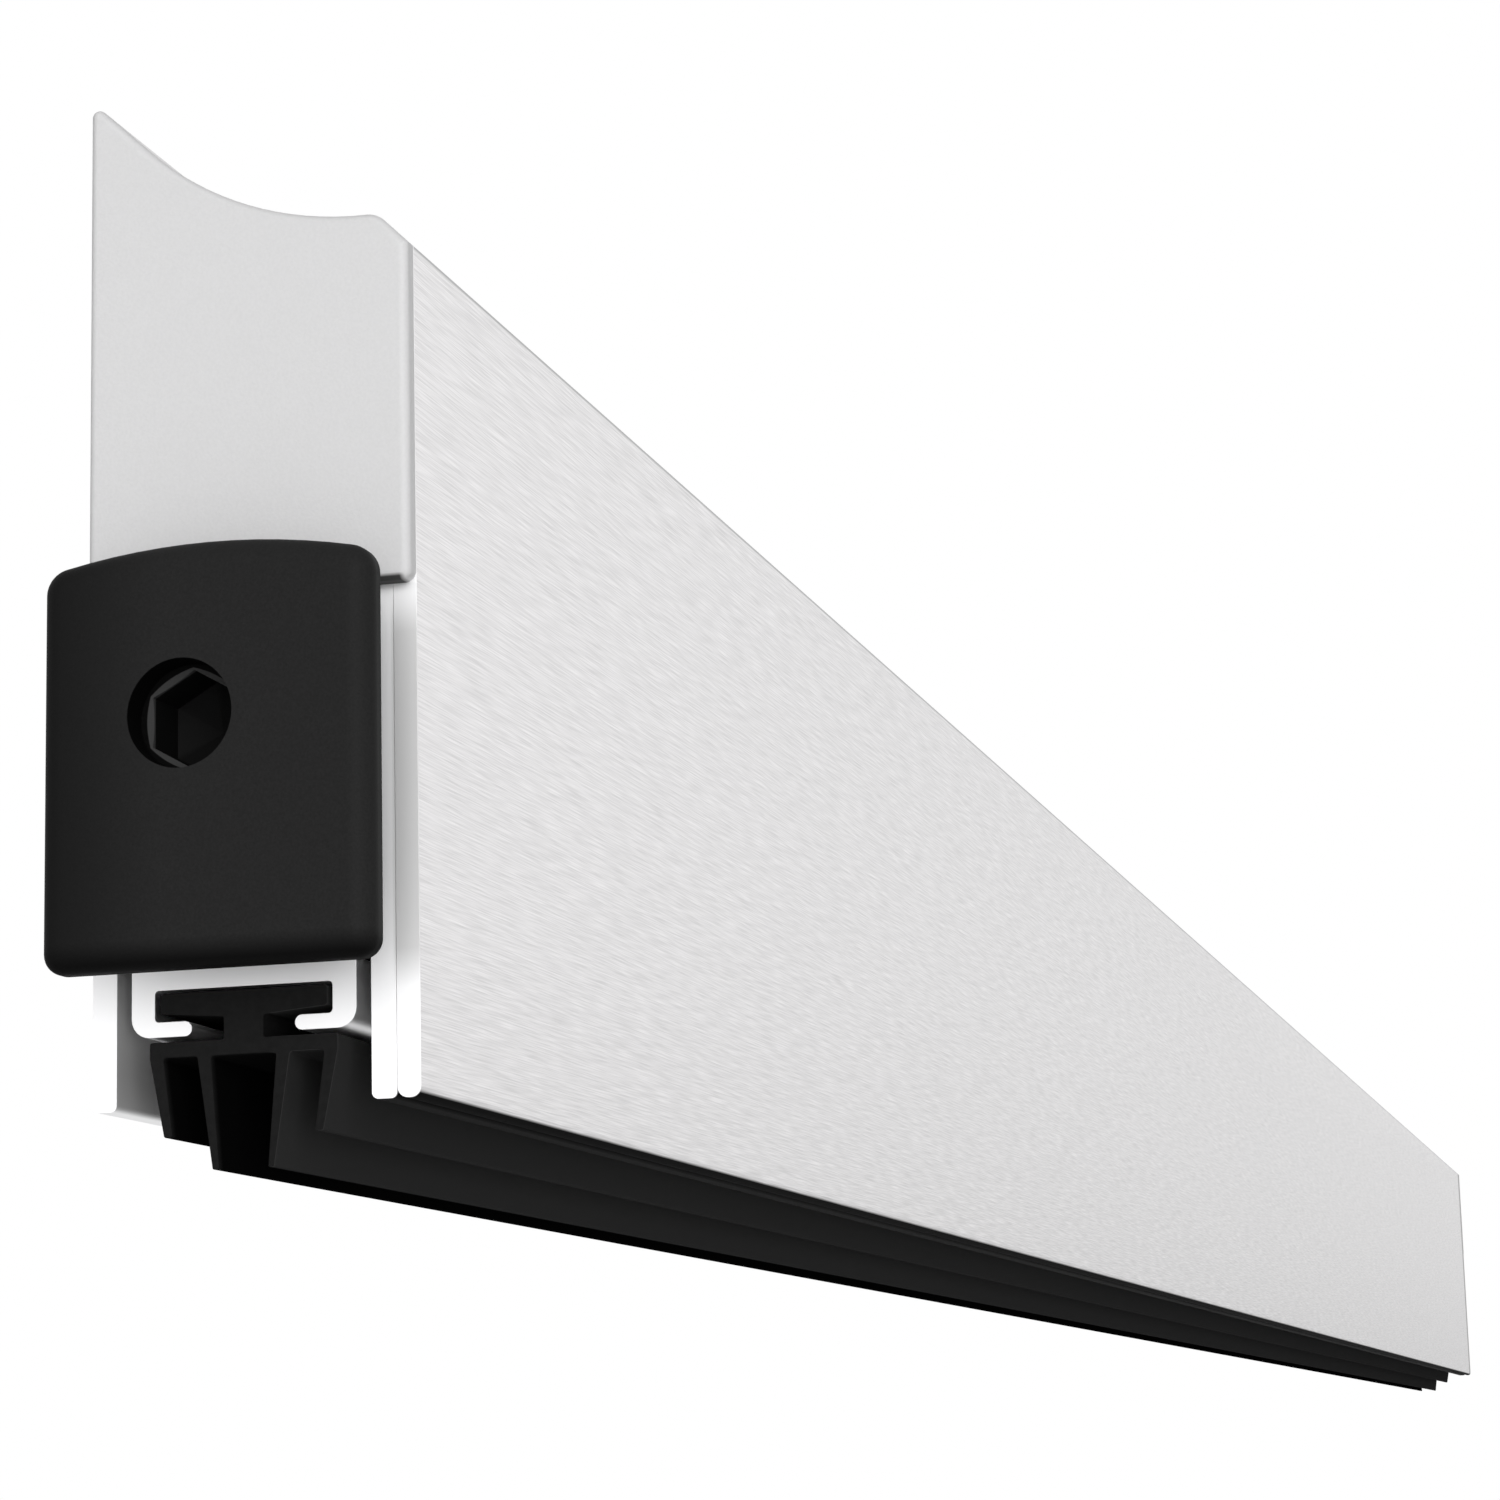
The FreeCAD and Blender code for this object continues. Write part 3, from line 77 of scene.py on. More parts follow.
@dataclass(frozen=True)
class Ramp:
    """A rise from 0 to 1 between two places along one axis of the row frame.

    Args:
        axis: X, Y or Z.
        start: Where it is still 0, in metres.
        stop: Where it reaches 1, in metres.
        mirrored: True where it counts the distance from the origin, so that both ends rise.
    """

    axis: str
    start: float
    stop: float
    mirrored: bool = False

    def build(self, tree: bpy.types.NodeTree, split: bpy.types.Node) -> bpy.types.NodeSocket:
        """Adds the ramp's nodes.

        Args:
            tree: The material's nodes.
            split: The node that splits the place into X, Y and Z.

        Returns:
            The output that rises from 0 to 1.
        """
        source = split.outputs[self.axis]
        if self.mirrored:
            size = tree.nodes.new("ShaderNodeMath")
            size.operation = "ABSOLUTE"
            tree.links.new(source, size.inputs[0])
            source = size.outputs["Value"]
        rise = tree.nodes.new("ShaderNodeMapRange")
        rise.inputs["From Min"].default_value = self.start
        rise.inputs["From Max"].default_value = self.stop
        tree.links.new(source, rise.inputs["Value"])
        return rise.outputs["Result"]


@dataclass(frozen=True)
class Zone:
    """A stretch of a surface, where all its ramps are 1, with a colour and a roughness of its own.

    Args:
        ramps: The ramps that are multiplied together.
        colour: Linear red, green and blue.
        roughness: Roughness there.
    """

    ramps: tuple[Ramp, ...]
    colour: tuple[float, float, float]
    roughness: float

    def build(self, tree: bpy.types.NodeTree, split: bpy.types.Node) -> bpy.types.NodeSocket:
        """Adds the nodes that multiply the ramps.

        Args:
            tree: The material's nodes.
            split: The node that splits the place into X, Y and Z.

        Returns:
            The output that is 1 in the zone and 0 outside it.
        """
        mask = self.ramps[0].build(tree, split)
        for ramp in self.ramps[1:]:
            both = tree.nodes.new("ShaderNodeMath")
            both.operation = "MULTIPLY"
            tree.links.new(mask, both.inputs[0])
            tree.links.new(ramp.build(tree, split), both.inputs[1])
            mask = both.outputs["Value"]
        return mask


@dataclass(frozen=True)
class Finish:
    """One material: its colour, its gloss and the fine marks that its making leaves.

    Args:
        name: The record's material slot.
        colour: Linear red, green and blue.
        metallic: 1 for bare metal, 0 for plastic and rubber.
        roughness: Mean roughness.
        pattern: How the fine marks run.
        mark: Size of the marks across their run, in metres.
        tint: How far the marks swing the colour, as a share of it.
        gloss_swing: How far the marks swing the roughness.
        relief: Depth of the marks in metres.
        specular: Specular level of a plastic.
        grazing: How bright a metal's reflection stays where it is seen at a low angle.
        zones: Stretches that look different, such as sawn ends, and stretches of painted shade, of painted
            light and of a painted highlight.
    """

    name: str
    colour: tuple[float, float, float]
    metallic: float
    roughness: float
    pattern: Pattern
    mark: float
    tint: float
    gloss_swing: float
    relief: float
    specular: float = 0.5
    grazing: float = 1.0
    zones: tuple[Zone, ...] = ()

    def stretch(self) -> tuple[float, float, float]:
        """How closely the marks follow one another along each axis.

        Returns:
            The marks' scale along X, Y and Z, in marks per metre.
        """
        across = 1 / self.mark
        if self.pattern is Pattern.LENGTHWISE:
            return across / LENGTHWISE_RUN, across, across
        if self.pattern is Pattern.DRAWN:
            return across, across / DRAWN_RUN, across
        return across, across, across

    def build(self) -> bpy.types.Material:
        """Makes the node material.

        Returns:
            A material whose colour, roughness and bump follow the marks in Object coordinates.
        """
        material = bpy.data.materials.new(f"finish_{self.name}")
        material.use_nodes = True
        tree = material.node_tree
        shader = tree.nodes["Principled BSDF"]
        shader.inputs["Metallic"].default_value = self.metallic
        shader.inputs["Specular IOR Level"].default_value = self.specular
        shader.inputs["Specular Tint"].default_value = (self.grazing, self.grazing, self.grazing, 1)
        place = tree.nodes.new("ShaderNodeTexCoord")
        mapping = tree.nodes.new("ShaderNodeMapping")
        mapping.inputs["Scale"].default_value = self.stretch()
        marks = tree.nodes.new("ShaderNodeTexNoise")
        marks.inputs["Scale"].default_value = 1.0
        marks.inputs["Detail"].default_value = MARKS_DETAIL
        tree.links.new(place.outputs["Object"], mapping.inputs["Vector"])
        tree.links.new(mapping.outputs["Vector"], marks.inputs["Vector"])
        roughness = self._swing(tree, marks.outputs["Fac"])
        colour = self._colour(tree, marks.outputs["Fac"])
        split = tree.nodes.new("ShaderNodeSeparateXYZ")
        tree.links.new(place.outputs["Object"], split.inputs["Vector"])
        for zone in self.zones:
            mask = zone.build(tree, split)
            roughness = self._mixed(tree, "FLOAT", mask, roughness, zone.roughness)
            colour = self._mixed(tree, "RGBA", mask, colour, (*zone.colour, 1))
        tree.links.new(roughness, shader.inputs["Roughness"])
        tree.links.new(colour, shader.inputs["Base Color"])
        bump = tree.nodes.new("ShaderNodeBump")
        bump.inputs["Strength"].default_value = 1.0
        bump.inputs["Distance"].default_value = self.relief
        tree.links.new(marks.outputs["Fac"], bump.inputs["Height"])
        tree.links.new(bump.outputs["Normal"], shader.inputs["Normal"])
        return material

    def _swing(self, tree: bpy.types.NodeTree, marks: bpy.types.NodeSocket) -> bpy.types.NodeSocket:
        """Roughness that follows the marks from its mean minus the swing to its mean plus the swing."""
        return self._spread(tree, marks, self.roughness - self.gloss_swing, self.roughness + self.gloss_swing)

    def _colour(self, tree: bpy.types.NodeTree, marks: bpy.types.NodeSocket) -> bpy.types.NodeSocket:
        """Colour that follows the marks: the finish's own, times 1 minus the tint to 1 plus the tint.

        Args:
            tree: The material's nodes.
            marks: The noise's output.

        Returns:
            The colour output.
        """
        swing = tree.nodes.new("ShaderNodeMix")
        swing.data_type = "RGBA"
        low, high = self._colour_sockets(swing)
        low.default_value = (*[min(part * (1 - self.tint), 1) for part in self.colour], 1)
        high.default_value = (*[min(part * (1 + self.tint), 1) for part in self.colour], 1)
        tree.links.new(self._spread(tree, marks, 0.0, 1.0), swing.inputs["Factor"])
        return self._colour_result(swing)

    def _mixed(
        self, tree: bpy.types.NodeTree, kind: str, mask: bpy.types.NodeSocket, source: bpy.types.NodeSocket,
        other: float | tuple[float, float, float, float],
    ) -> bpy.types.NodeSocket:
        """The source where the mask is 0 and the other value where it is 1.

        Args:
            tree: The material's nodes.
            kind: FLOAT for a number or RGBA for a colour.
            mask: The output that says where the other value holds.
            source: The output that holds elsewhere.
            other: The value in the zone.

        Returns:
            The mixed output.
        """
        mix = tree.nodes.new("ShaderNodeMix")
        mix.data_type = kind
        first, second = self._colour_sockets(mix) if kind == "RGBA" else (mix.inputs[2], mix.inputs[3])
        tree.links.new(mask, mix.inputs["Factor"])
        tree.links.new(source, first)
        second.default_value = other
        return self._colour_result(mix) if kind == "RGBA" else mix.outputs[0]

    @staticmethod
    def _spread(
        tree: bpy.types.NodeTree, marks: bpy.types.NodeSocket, low: float, high: float
    ) -> bpy.types.NodeSocket:
        """Carries the marks over to another range.

        Args:
            tree: The material's nodes.
            marks: The noise's output.
            low: The result where the marks are lowest.
            high: The result where the marks are highest.

        Returns:
            The output that runs from low to high.
        """
        spread = tree.nodes.new("ShaderNodeMapRange")
        spread.inputs["From Min"].default_value = MARKS_FROM
        spread.inputs["From Max"].default_value = MARKS_TO
        spread.inputs["To Min"].default_value = low
        spread.inputs["To Max"].default_value = high
        tree.links.new(marks, spread.inputs["Value"])
        return spread.outputs["Result"]

    @staticmethod
    def _colour_sockets(mix: bpy.types.Node) -> tuple[bpy.types.NodeSocket, bpy.types.NodeSocket]:
        """The two colour inputs of a mix node."""
        return tuple(socket for socket in mix.inputs if socket.type == "RGBA")

    @staticmethod
    def _colour_result(mix: bpy.types.Node) -> bpy.types.NodeSocket:
        """The colour output of a mix node."""
        return next(socket for socket in mix.outputs if socket.type == "RGBA")


# Half the seal's length, to which its ends are sawn, and the height of the walls' lower edges
END = 315 * MM
LOW = -36 * MM

# Depth from the door of the middle of the rubber and the bar
SECTION_MIDDLE = 7.43 * MM

# Depth from the door, and height above the walls' lower edges, of the screw's and the spring's axis
AXIS_DEPTH = 6.9 * MM
AXIS_HEIGHT = 17.15 * MM

# How far out the plunger's front is, and the middle and half width of the hole for the key
FRONT = END + 6.3 * MM
HOLE_Y = -AXIS_DEPTH
HOLE_Z = LOW + AXIS_HEIGHT
HOLE_REACH = 2.7 * MM

# Freshly sawn aluminium scatters light more than the rest, and is in the plate's shade beside the plunger
SAWN_ENDS = Zone((Ramp("X", END - 0.1 * MM, END - 0.03 * MM, mirrored=True),), (0.92, 0.92, 0.925), 0.72)
SHADED_ENDS = Zone(
    (
        Ramp("X", -END + 0.1 * MM, -END + 0.03 * MM),
        Ramp("Z", LOW + 5 * MM, LOW + 6.8 * MM),
        Ramp("Z", LOW + 23.4 * MM, LOW + 21.5 * MM),
        Ramp("Y", -14.7 * MM, -14.9 * MM),
    ),
    (0.7, 0.7, 0.7),
    0.72,
)

# Painted shade on the walls' and the cover's lower edges, along the cover's top edge and at its far end, and
# the channel's dull inside
PAINTED_UNDERSIDE_SHADE = Zone(
    (
        Ramp("Z", LOW + 0.32 * MM, LOW + 0.2 * MM),
        Ramp("X", -END + 0.05 * MM, -END + 0.15 * MM),
        Ramp("Y", -12 * MM, -13 * MM),
    ),
    (0.008, 0.008, 0.008),
    1.0,
)
# Painted shade: a darker line along the cover's top edge
PAINTED_TOP_EDGE_SHADE = Zone(
    (Ramp("Z", LOW + 39.83 * MM, LOW + 39.93 * MM), Ramp("Y", -15.35 * MM, -15.5 * MM)),
    (0.45, 0.45, 0.45),
    0.5,
)
# Painted shade: a darker band over the last few millimetres of the cover's far end
PAINTED_FAR_END_SHADE = Zone((Ramp("X", END - 3.5 * MM, END - 2.5 * MM),), (0.35, 0.35, 0.35), 0.5)
DULL_INSIDE = Zone(
    (Ramp("Y", -1 * MM, -1.19 * MM), Ramp("Y", -14 * MM, -13.7 * MM)),
    (0.64, 0.64, 0.64),
    0.75,
)

# Painted light on the rubber's room side, and painted shade in the spaces between its fins
PAINTED_ROOM_SIDE_LIGHT = Zone(
    (Ramp("X", -END + 0.01 * MM, -END + 0.03 * MM), Ramp("Y", -8.6 * MM, -8.9 * MM)),
    (0.034, 0.034, 0.034),
    0.8,
)
PAINTED_FIN_GAP_SHADE = Zone(
    (
        Ramp("X", -END + 0.1 * MM, -END + 0.6 * MM),
        Ramp("Y", -8.9 * MM, -8.6 * MM),
        Ramp("Z", LOW + 2.5 * MM, LOW + 2.3 * MM),
    ),
    (0.003, 0.003, 0.003),
    0.9,
)

# Painted shade on the cap's lower rim, the plunger's door side and lower rim, and the wall of its hole
PAINTED_CAP_RIM_SHADE = Zone(
    (Ramp("Z", LOW + 24.1 * MM, LOW + 23.95 * MM), Ramp("Y", -15.75 * MM, -15.5 * MM)),
    (0.05, 0.05, 0.05),
    0.6,
)
PAINTED_DOOR_SIDE_SHADE = Zone((Ramp("Y", -6 * MM, 0),), (0.0085, 0.0085, 0.0085), 0.5)
PAINTED_PLATE_RIM_SHADE = Zone((Ramp("Z", LOW + 7 * MM, LOW + 6 * MM),), (0.004, 0.004, 0.004), 0.6)
PAINTED_HOLE_SHADE = Zone(
    (
        Ramp("X", -FRONT + 0.02 * MM, -FRONT + 0.1 * MM),
        Ramp("Y", HOLE_Y - HOLE_REACH, HOLE_Y - HOLE_REACH + 0.1 * MM),
        Ramp("Y", HOLE_Y + HOLE_REACH, HOLE_Y + HOLE_REACH - 0.1 * MM),
        Ramp("Z", HOLE_Z - HOLE_REACH, HOLE_Z - HOLE_REACH + 0.1 * MM),
        Ramp("Z", HOLE_Z + HOLE_REACH, HOLE_Z + HOLE_REACH - 0.1 * MM),
    ),
    (0.002, 0.002, 0.002),
    0.6,
)

# A painted highlight on the mouth of the screw's socket, and painted shade on its walls deeper in
PAINTED_MOUTH_HIGHLIGHT = Zone((Ramp("X", -END - 4.645 * MM, -END - 4.62 * MM),), (0.05, 0.05, 0.05), 0.5)
PAINTED_SOCKET_SHADE = Zone((Ramp("X", -END - 4.3 * MM, -END - 4.2 * MM),), (0.006, 0.006, 0.006), 0.5)

FINISHES = (
    Finish(
        "mill_aluminium", (0.82, 0.82, 0.825), metallic=1.0, roughness=0.36, pattern=Pattern.LENGTHWISE,
        mark=0.5 * MM, tint=0.03, gloss_swing=0.05, relief=0.002 * MM,
        zones=(DULL_INSIDE, SAWN_ENDS, SHADED_ENDS, PAINTED_UNDERSIDE_SHADE),
    ),
    Finish(
        "brushed_cover", (0.70, 0.692, 0.696), metallic=1.0, roughness=0.38, pattern=Pattern.LENGTHWISE,
        mark=0.065 * MM, tint=0.21, gloss_swing=0.08, relief=0.001 * MM, grazing=0.72,
        zones=(PAINTED_TOP_EDGE_SHADE, PAINTED_FAR_END_SHADE, SAWN_ENDS, SHADED_ENDS, PAINTED_UNDERSIDE_SHADE),
    ),
    Finish(
        "bar_aluminium", (0.93, 0.93, 0.935), metallic=1.0, roughness=0.42, pattern=Pattern.LENGTHWISE,
        mark=0.5 * MM, tint=0.02, gloss_swing=0.05, relief=0.002 * MM, zones=(SAWN_ENDS,),
    ),
    Finish(
        "grey_cap", (0.68, 0.678, 0.682), metallic=0.0, roughness=0.55, pattern=Pattern.GRAINED,
        mark=0.15 * MM, tint=0.02, gloss_swing=0.05, relief=0.01 * MM, specular=0.2, zones=(PAINTED_CAP_RIM_SHADE,),
    ),
    Finish(
        "black_plunger", (0.019, 0.019, 0.019), metallic=0.0, roughness=0.5, pattern=Pattern.GRAINED,
        mark=0.12 * MM, tint=0.1, gloss_swing=0.05, relief=0.008 * MM, specular=0.02,
        zones=(PAINTED_DOOR_SIDE_SHADE, PAINTED_PLATE_RIM_SHADE, PAINTED_HOLE_SHADE),
    ),
    Finish(
        "black_screw", (0.003, 0.003, 0.003), metallic=0.0, roughness=0.4, pattern=Pattern.DRAWN,
        mark=0.1 * MM, tint=0.1, gloss_swing=0.05, relief=0.004 * MM, specular=0.02,
        zones=(PAINTED_MOUTH_HIGHLIGHT, PAINTED_SOCKET_SHADE),
    ),
    Finish(
        "natural_acetal", (0.8, 0.8, 0.76), metallic=0.0, roughness=0.4, pattern=Pattern.GRAINED,
        mark=0.4 * MM, tint=0.02, gloss_swing=0.05, relief=0.004 * MM, specular=0.4,
    ),
    Finish(
        "zinc_steel", (0.6, 0.61, 0.63), metallic=1.0, roughness=0.32, pattern=Pattern.SPANGLED,
        mark=0.6 * MM, tint=0.06, gloss_swing=0.08, relief=0.002 * MM,
    ),
    Finish(
        "spring_steel", (0.5, 0.5, 0.52), metallic=1.0, roughness=0.25, pattern=Pattern.DRAWN,
        mark=0.1 * MM, tint=0.05, gloss_swing=0.05, relief=0.002 * MM,
    ),
    Finish(
        "seal_rubber", (0.014, 0.014, 0.014), metallic=0.0, roughness=0.8, pattern=Pattern.LENGTHWISE,
        mark=0.3 * MM, tint=0.1, gloss_swing=0.05, relief=0.002 * MM, specular=0.0,
        zones=(PAINTED_ROOM_SIDE_LIGHT, PAINTED_FIN_GAP_SHADE),
    ),
)


def rounded_outline(corners: np.ndarray, radii: np.ndarray, steps: int = 7) -> np.ndarray:
    """A closed outline whose corners are arcs.

    At a corner P with unit directions a and b to its neighbours and half angle h between them, the arc's
    centre is C = P + r / sin(h) (a + b) / |a + b|, and it runs from P + a r / tan(h) to P + b r / tan(h) as
    C + (sin((1 - s) w) u + sin(s w) v) / sin(w), where w = pi - 2 h and u and v are the ends less C.

    Args:
        corners: One row for each corner, in metres.
        radii: One radius for each corner, 0 for a sharp one.
        steps: Points on each arc.

    Returns:
        The outline's points, one row each, without doubled ones.
    """
    before = np.roll(corners, 1, axis=0) - corners
    after = np.roll(corners, -1, axis=0) - corners
    before /= np.linalg.norm(before, axis=1, keepdims=True)
    after /= np.linalg.norm(after, axis=1, keepdims=True)
    half = 0.5 * np.arccos(np.clip((before * after).sum(axis=1), -1, 1))[:, None]
    bisector = before + after
    bisector /= np.linalg.norm(bisector, axis=1, keepdims=True)
    radius = np.asarray(radii, dtype=float)[:, None]
    centre = corners + bisector * radius / np.sin(half)
    begin = corners + before * radius / np.tan(half) - centre
    end = corners + after * radius / np.tan(half) - centre
    share = np.linspace(0, 1, steps)[None, :, None]
    sweep = (math.pi - 2 * half)[:, None, :]
    turned = np.sin((1 - share) * sweep) * begin[:, None, :] + np.sin(share * sweep) * end[:, None, :]
    points = (centre[:, None, :] + turned / np.sin(sweep)).reshape(-1, 2)
    doubled = 0.001 * MM
    return points[np.linalg.norm(points - np.roll(points, 1, axis=0), axis=1) > doubled]


def mirrored_outline(half: np.ndarray, middle: float, steps: int = 7) -> np.ndarray:
    """A closed outline that is the same on both sides of its middle.

    The corner (a, z) of the half gives the corners (m + a, z) and (m - a, z), where m is the middle.

    Args:
        half: One row for each corner, with its distance from the middle, its height and its radius.
        middle: The middle's depth from the door, in metres.
        steps: Points on each arc.

    Returns:
        The outline's points, one row each.
    """
    across = np.concatenate((half[:, 0], -half[::-1, 0])) + middle
    height = np.concatenate((half[:, 1], half[::-1, 1]))
    radii = np.concatenate((half[:, 2], half[::-1, 2]))
    return rounded_outline(np.stack((across, height), axis=1), radii, steps)


def inward(outline: np.ndarray) -> np.ndarray:
    """Unit normals of a closed outline, which point into it.

    The normal at a point is square to the line between its two neighbours. The sign of the outline's area,
    half the sum of x_i y_(i + 1) - x_(i + 1) y_i, says on which side the inside lies.

    Args:
        outline: The outline's points, one row each.

    Returns:
        One unit normal for each point.
    """
    along = np.roll(outline, -1, axis=0) - np.roll(outline, 1, axis=0)
    normal = np.stack((-along[:, 1], along[:, 0]), axis=1)
    normal /= np.linalg.norm(normal, axis=1, keepdims=True)
    x, y = outline[:, 0], outline[:, 1]
    turning = (x * np.roll(y, -1) - np.roll(x, -1) * y).sum()
    return normal * np.sign(turning)


def tube_faces(rows: int, columns: int) -> list[list[int]]:
    """The faces of a closed tube, whose last column joins its first.

    Args:
        rows: Rings along the tube.
        columns: Points on each ring.

    Returns:
        The quads between the rings, then a face that closes each end.
    """
    row, column = np.meshgrid(np.arange(rows - 1), np.arange(columns), indexing="ij")
    beside = (column + 1) % columns
    here, onward = row * columns, (row + 1) * columns
    quads = np.stack((here + column, here + beside, onward + beside, onward + column), axis=-1).reshape(-1, 4)
    last = (rows - 1) * columns
    return [*quads.tolist(), list(range(columns)), list(range(last, last + columns))]


class Piece:
    """A piece made in the scene that stands for one CAD node.

    Args:
        name: The piece's own name.
        node: The CAD node that it replaces.
        body: The CAD body that it moves with.
        slot: The record's material slot that its finish comes from.
    """

    def __init__(self, name: str, node: str, body: str, slot: str) -> None:
        self.name = name
        self.node = node
        self.body = body
        self.slot = slot

    def place(
        self, points: np.ndarray, faces: list[list[int]], material: bpy.types.Material
    ) -> bpy.types.Object:
        """Makes the mesh, turns its faces outward, dresses it and puts it on its body.

        Args:
            points: One row for each point, in the row frame, in metres.
            faces: The point numbers of each face.
            material: The finish.

        Returns:
            The piece's object.
        """
        mesh = bpy.data.meshes.new(self.name)
        mesh.from_pydata(points.tolist(), [], faces)
        work = bmesh.new()
        work.from_mesh(mesh)
        bmesh.ops.recalc_face_normals(work, faces=work.faces)
        work.to_mesh(mesh)
        work.free()
        mesh.shade_smooth()
        mesh.set_sharp_from_angle(angle=SHARP)
        mesh.materials.append(material)
        piece = bpy.data.objects.new(self.name, mesh)
        bpy.context.scene.collection.objects.link(piece)
        self.join(piece)
        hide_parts(self.node)
        LOG.info("%s has %d faces", self.name, len(faces))
        return piece

    def join(self, piece: bpy.types.Object) -> None:
        """Puts the piece on its body."""
        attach(piece, self.body)


class Extrusion(Piece):
    """A piece whose section runs straight through from one sawn end to the other.

    Its sizes are the broken edge round each end and the number of rings in between.
    """

    broken: float = 0.015 * MM
    rings: int = 64

    def outline(self) -> np.ndarray:
        """The closed section, as depth from the door and height above the walls' lower edges, in metres."""
        raise NotImplementedError

    def build(self, material: bpy.types.Material) -> bpy.types.Object:
        """Carries the section along X.

        The surface is S(i, j) = (x_i, -(d_j + b_i n_j), z_j + b_i m_j): the section's point j moved inward
        by b_i, which is the broken edge on the two end rings and 0 on the others.

        Args:
            material: The finish.

        Returns:
            The piece's object.
        """
        section = self.outline()
        normal = inward(section)
        start, stop = -END + self.broken, END - self.broken
        along = np.concatenate(([-END], np.linspace(start, stop, self.rings), [END]))
        inset = np.where(np.abs(along) > END - self.broken / 2, self.broken, 0.0)
        moved = section[None, :, :] + inset[:, None, None] * normal[None, :, :]
        x = np.broadcast_to(along[:, None], moved.shape[:2])
        points = np.stack((x, -moved[..., 0], moved[..., 1] + LOW), axis=-1).reshape(-1, 3)
        return self.place(points, tube_faces(len(along), len(section)), material)


@dataclass
class CoverSizes:
    """Sizes of the cover's section, in metres."""

    width: float = 16 * MM
    wall: float = 1.125 * MM
    low_round: float = 0.5 * MM
    sweep_low: float = 41.55 * MM
    chamfer: float = 1.55 * MM
    land: float = 0.55 * MM
    chamfer_round: float = 1.2 * MM
    sweep_end: float = 2.95 * MM
    sweep_angle: float = math.radians(43.5)
    tip_round: float = 0.35 * MM
    hook_play: float = 0.05 * MM
    hook_wall: float = 0.8 * MM
    hook_drop: float = 2 * MM
    flange: float = 1.2 * MM
    rib_height: float = 28.7 * MM
    rib_width: float = 1.32 * MM
    rib_depth: float = 0.385 * MM


class Cover(Extrusion):
    """The brushed cover: flat face, chamfer, hollow sweep up to the door and the hook behind it."""

    sweep_steps: int = 28

    def __init__(self) -> None:
        super().__init__("cover_shell", "cover", "housing", "brushed_cover")
        self.sizes = CoverSizes()

    def outline(self) -> np.ndarray:
        """The section: face, chamfer, hollow sweep, hook, and back down inside.

        The hollow sweep is the arc with the depth d = c - R sin(t) and the height z = low + R (1 - cos(t)),
        where t runs from 0 to the sweep's angle. The inner sweep has the same centre, and its radius is
        larger by one wall.

        Returns:
            The section's points, one row each.
        """
        size = self.sizes
        low_point = size.width - size.chamfer - size.land
        radius = (low_point - size.sweep_end) / math.sin(size.sweep_angle)
        sweep_top = size.sweep_low + radius * (1 - math.cos(size.sweep_angle))
        slope = math.tan(size.sweep_angle)
        peak = sweep_top + size.sweep_end * slope
        turn = np.linspace(0, size.sweep_angle, self.sweep_steps)[:, None]
        swing = np.concatenate((-np.sin(turn), -np.cos(turn)), axis=1)
        centre = np.array([[low_point, size.sweep_low + radius]])
        outer = centre + radius * swing
        inner = centre + (radius + size.wall) * swing
        face_top = size.sweep_low - size.chamfer
        hook_start = size.flange + size.hook_play
        hook_inner = hook_start + size.hook_wall
        below = size.wall / math.cos(size.sweep_angle)
        flange_roof = sweep_top + (size.sweep_end - size.flange) * slope - below
        hook_low = flange_roof - size.hook_play - size.hook_drop
        ceiling = hook_low + size.hook_drop + size.hook_play
        under = sweep_top + (size.sweep_end - hook_inner) * slope - below
        inside = size.width - size.wall
        rib_low, rib_high = size.rib_height - size.rib_width / 2, size.rib_height + size.rib_width / 2
        chamfer_end = size.width - size.chamfer
        face = np.array([[size.width, 0], [size.width, face_top], [chamfer_end, size.sweep_low]])
        hook = np.array([
            [0, peak], [0, ceiling], [hook_start, ceiling], [hook_start, hook_low], [hook_inner, hook_low],
            [hook_inner, under],
        ])
        back = np.array([
            [chamfer_end + size.wall * (1 - math.sqrt(2)), size.sweep_low - size.wall],
            [inside, face_top - size.wall * (math.sqrt(2) - 1)],
            [inside, rib_high], [inside - size.rib_depth, rib_high], [inside - size.rib_depth, rib_low],
            [inside, rib_low], [inside, 0],
        ])
        corners = np.concatenate((face, outer, hook, inner[::-1], back))
        radii = np.zeros(len(corners))
        radii[[0, -1]] = size.low_round
        radii[2] = size.chamfer_round
        radii[len(face) + len(outer)] = size.tip_round
        return rounded_outline(corners, radii)


@dataclass
class RubberSizes:
    """Sizes of the rubber's section, in metres, each half counted from its middle."""

    middle: float = SECTION_MIDDLE
    head_half: float = 4.1 * MM
    head_top: float = 5.35 * MM
    head_low: float = 4.4 * MM
    neck_low: float = 4.15 * MM
    neck_half: float = 0.97 * MM
    flange_half: float = 4.6 * MM
    flange_top: float = 3.1 * MM
    flange_low: float = 2.38 * MM
    outer_root: float = 0.65 * MM
    outer_tip: float = 0.4 * MM
    outer_lean: float = 0.72 * MM
    outer_low: float = -1.3 * MM
    inner_place: float = 2.27 * MM
    inner_root: float = 0.66 * MM
    inner_tip: float = 0.3 * MM
    inner_lean: float = 0.77 * MM
    inner_low: float = -2.85 * MM
    head_round: float = 0.15 * MM
    edge_round: float = 0.12 * MM
    root_round: float = 0.15 * MM
    tip_round: float = 0.1 * MM


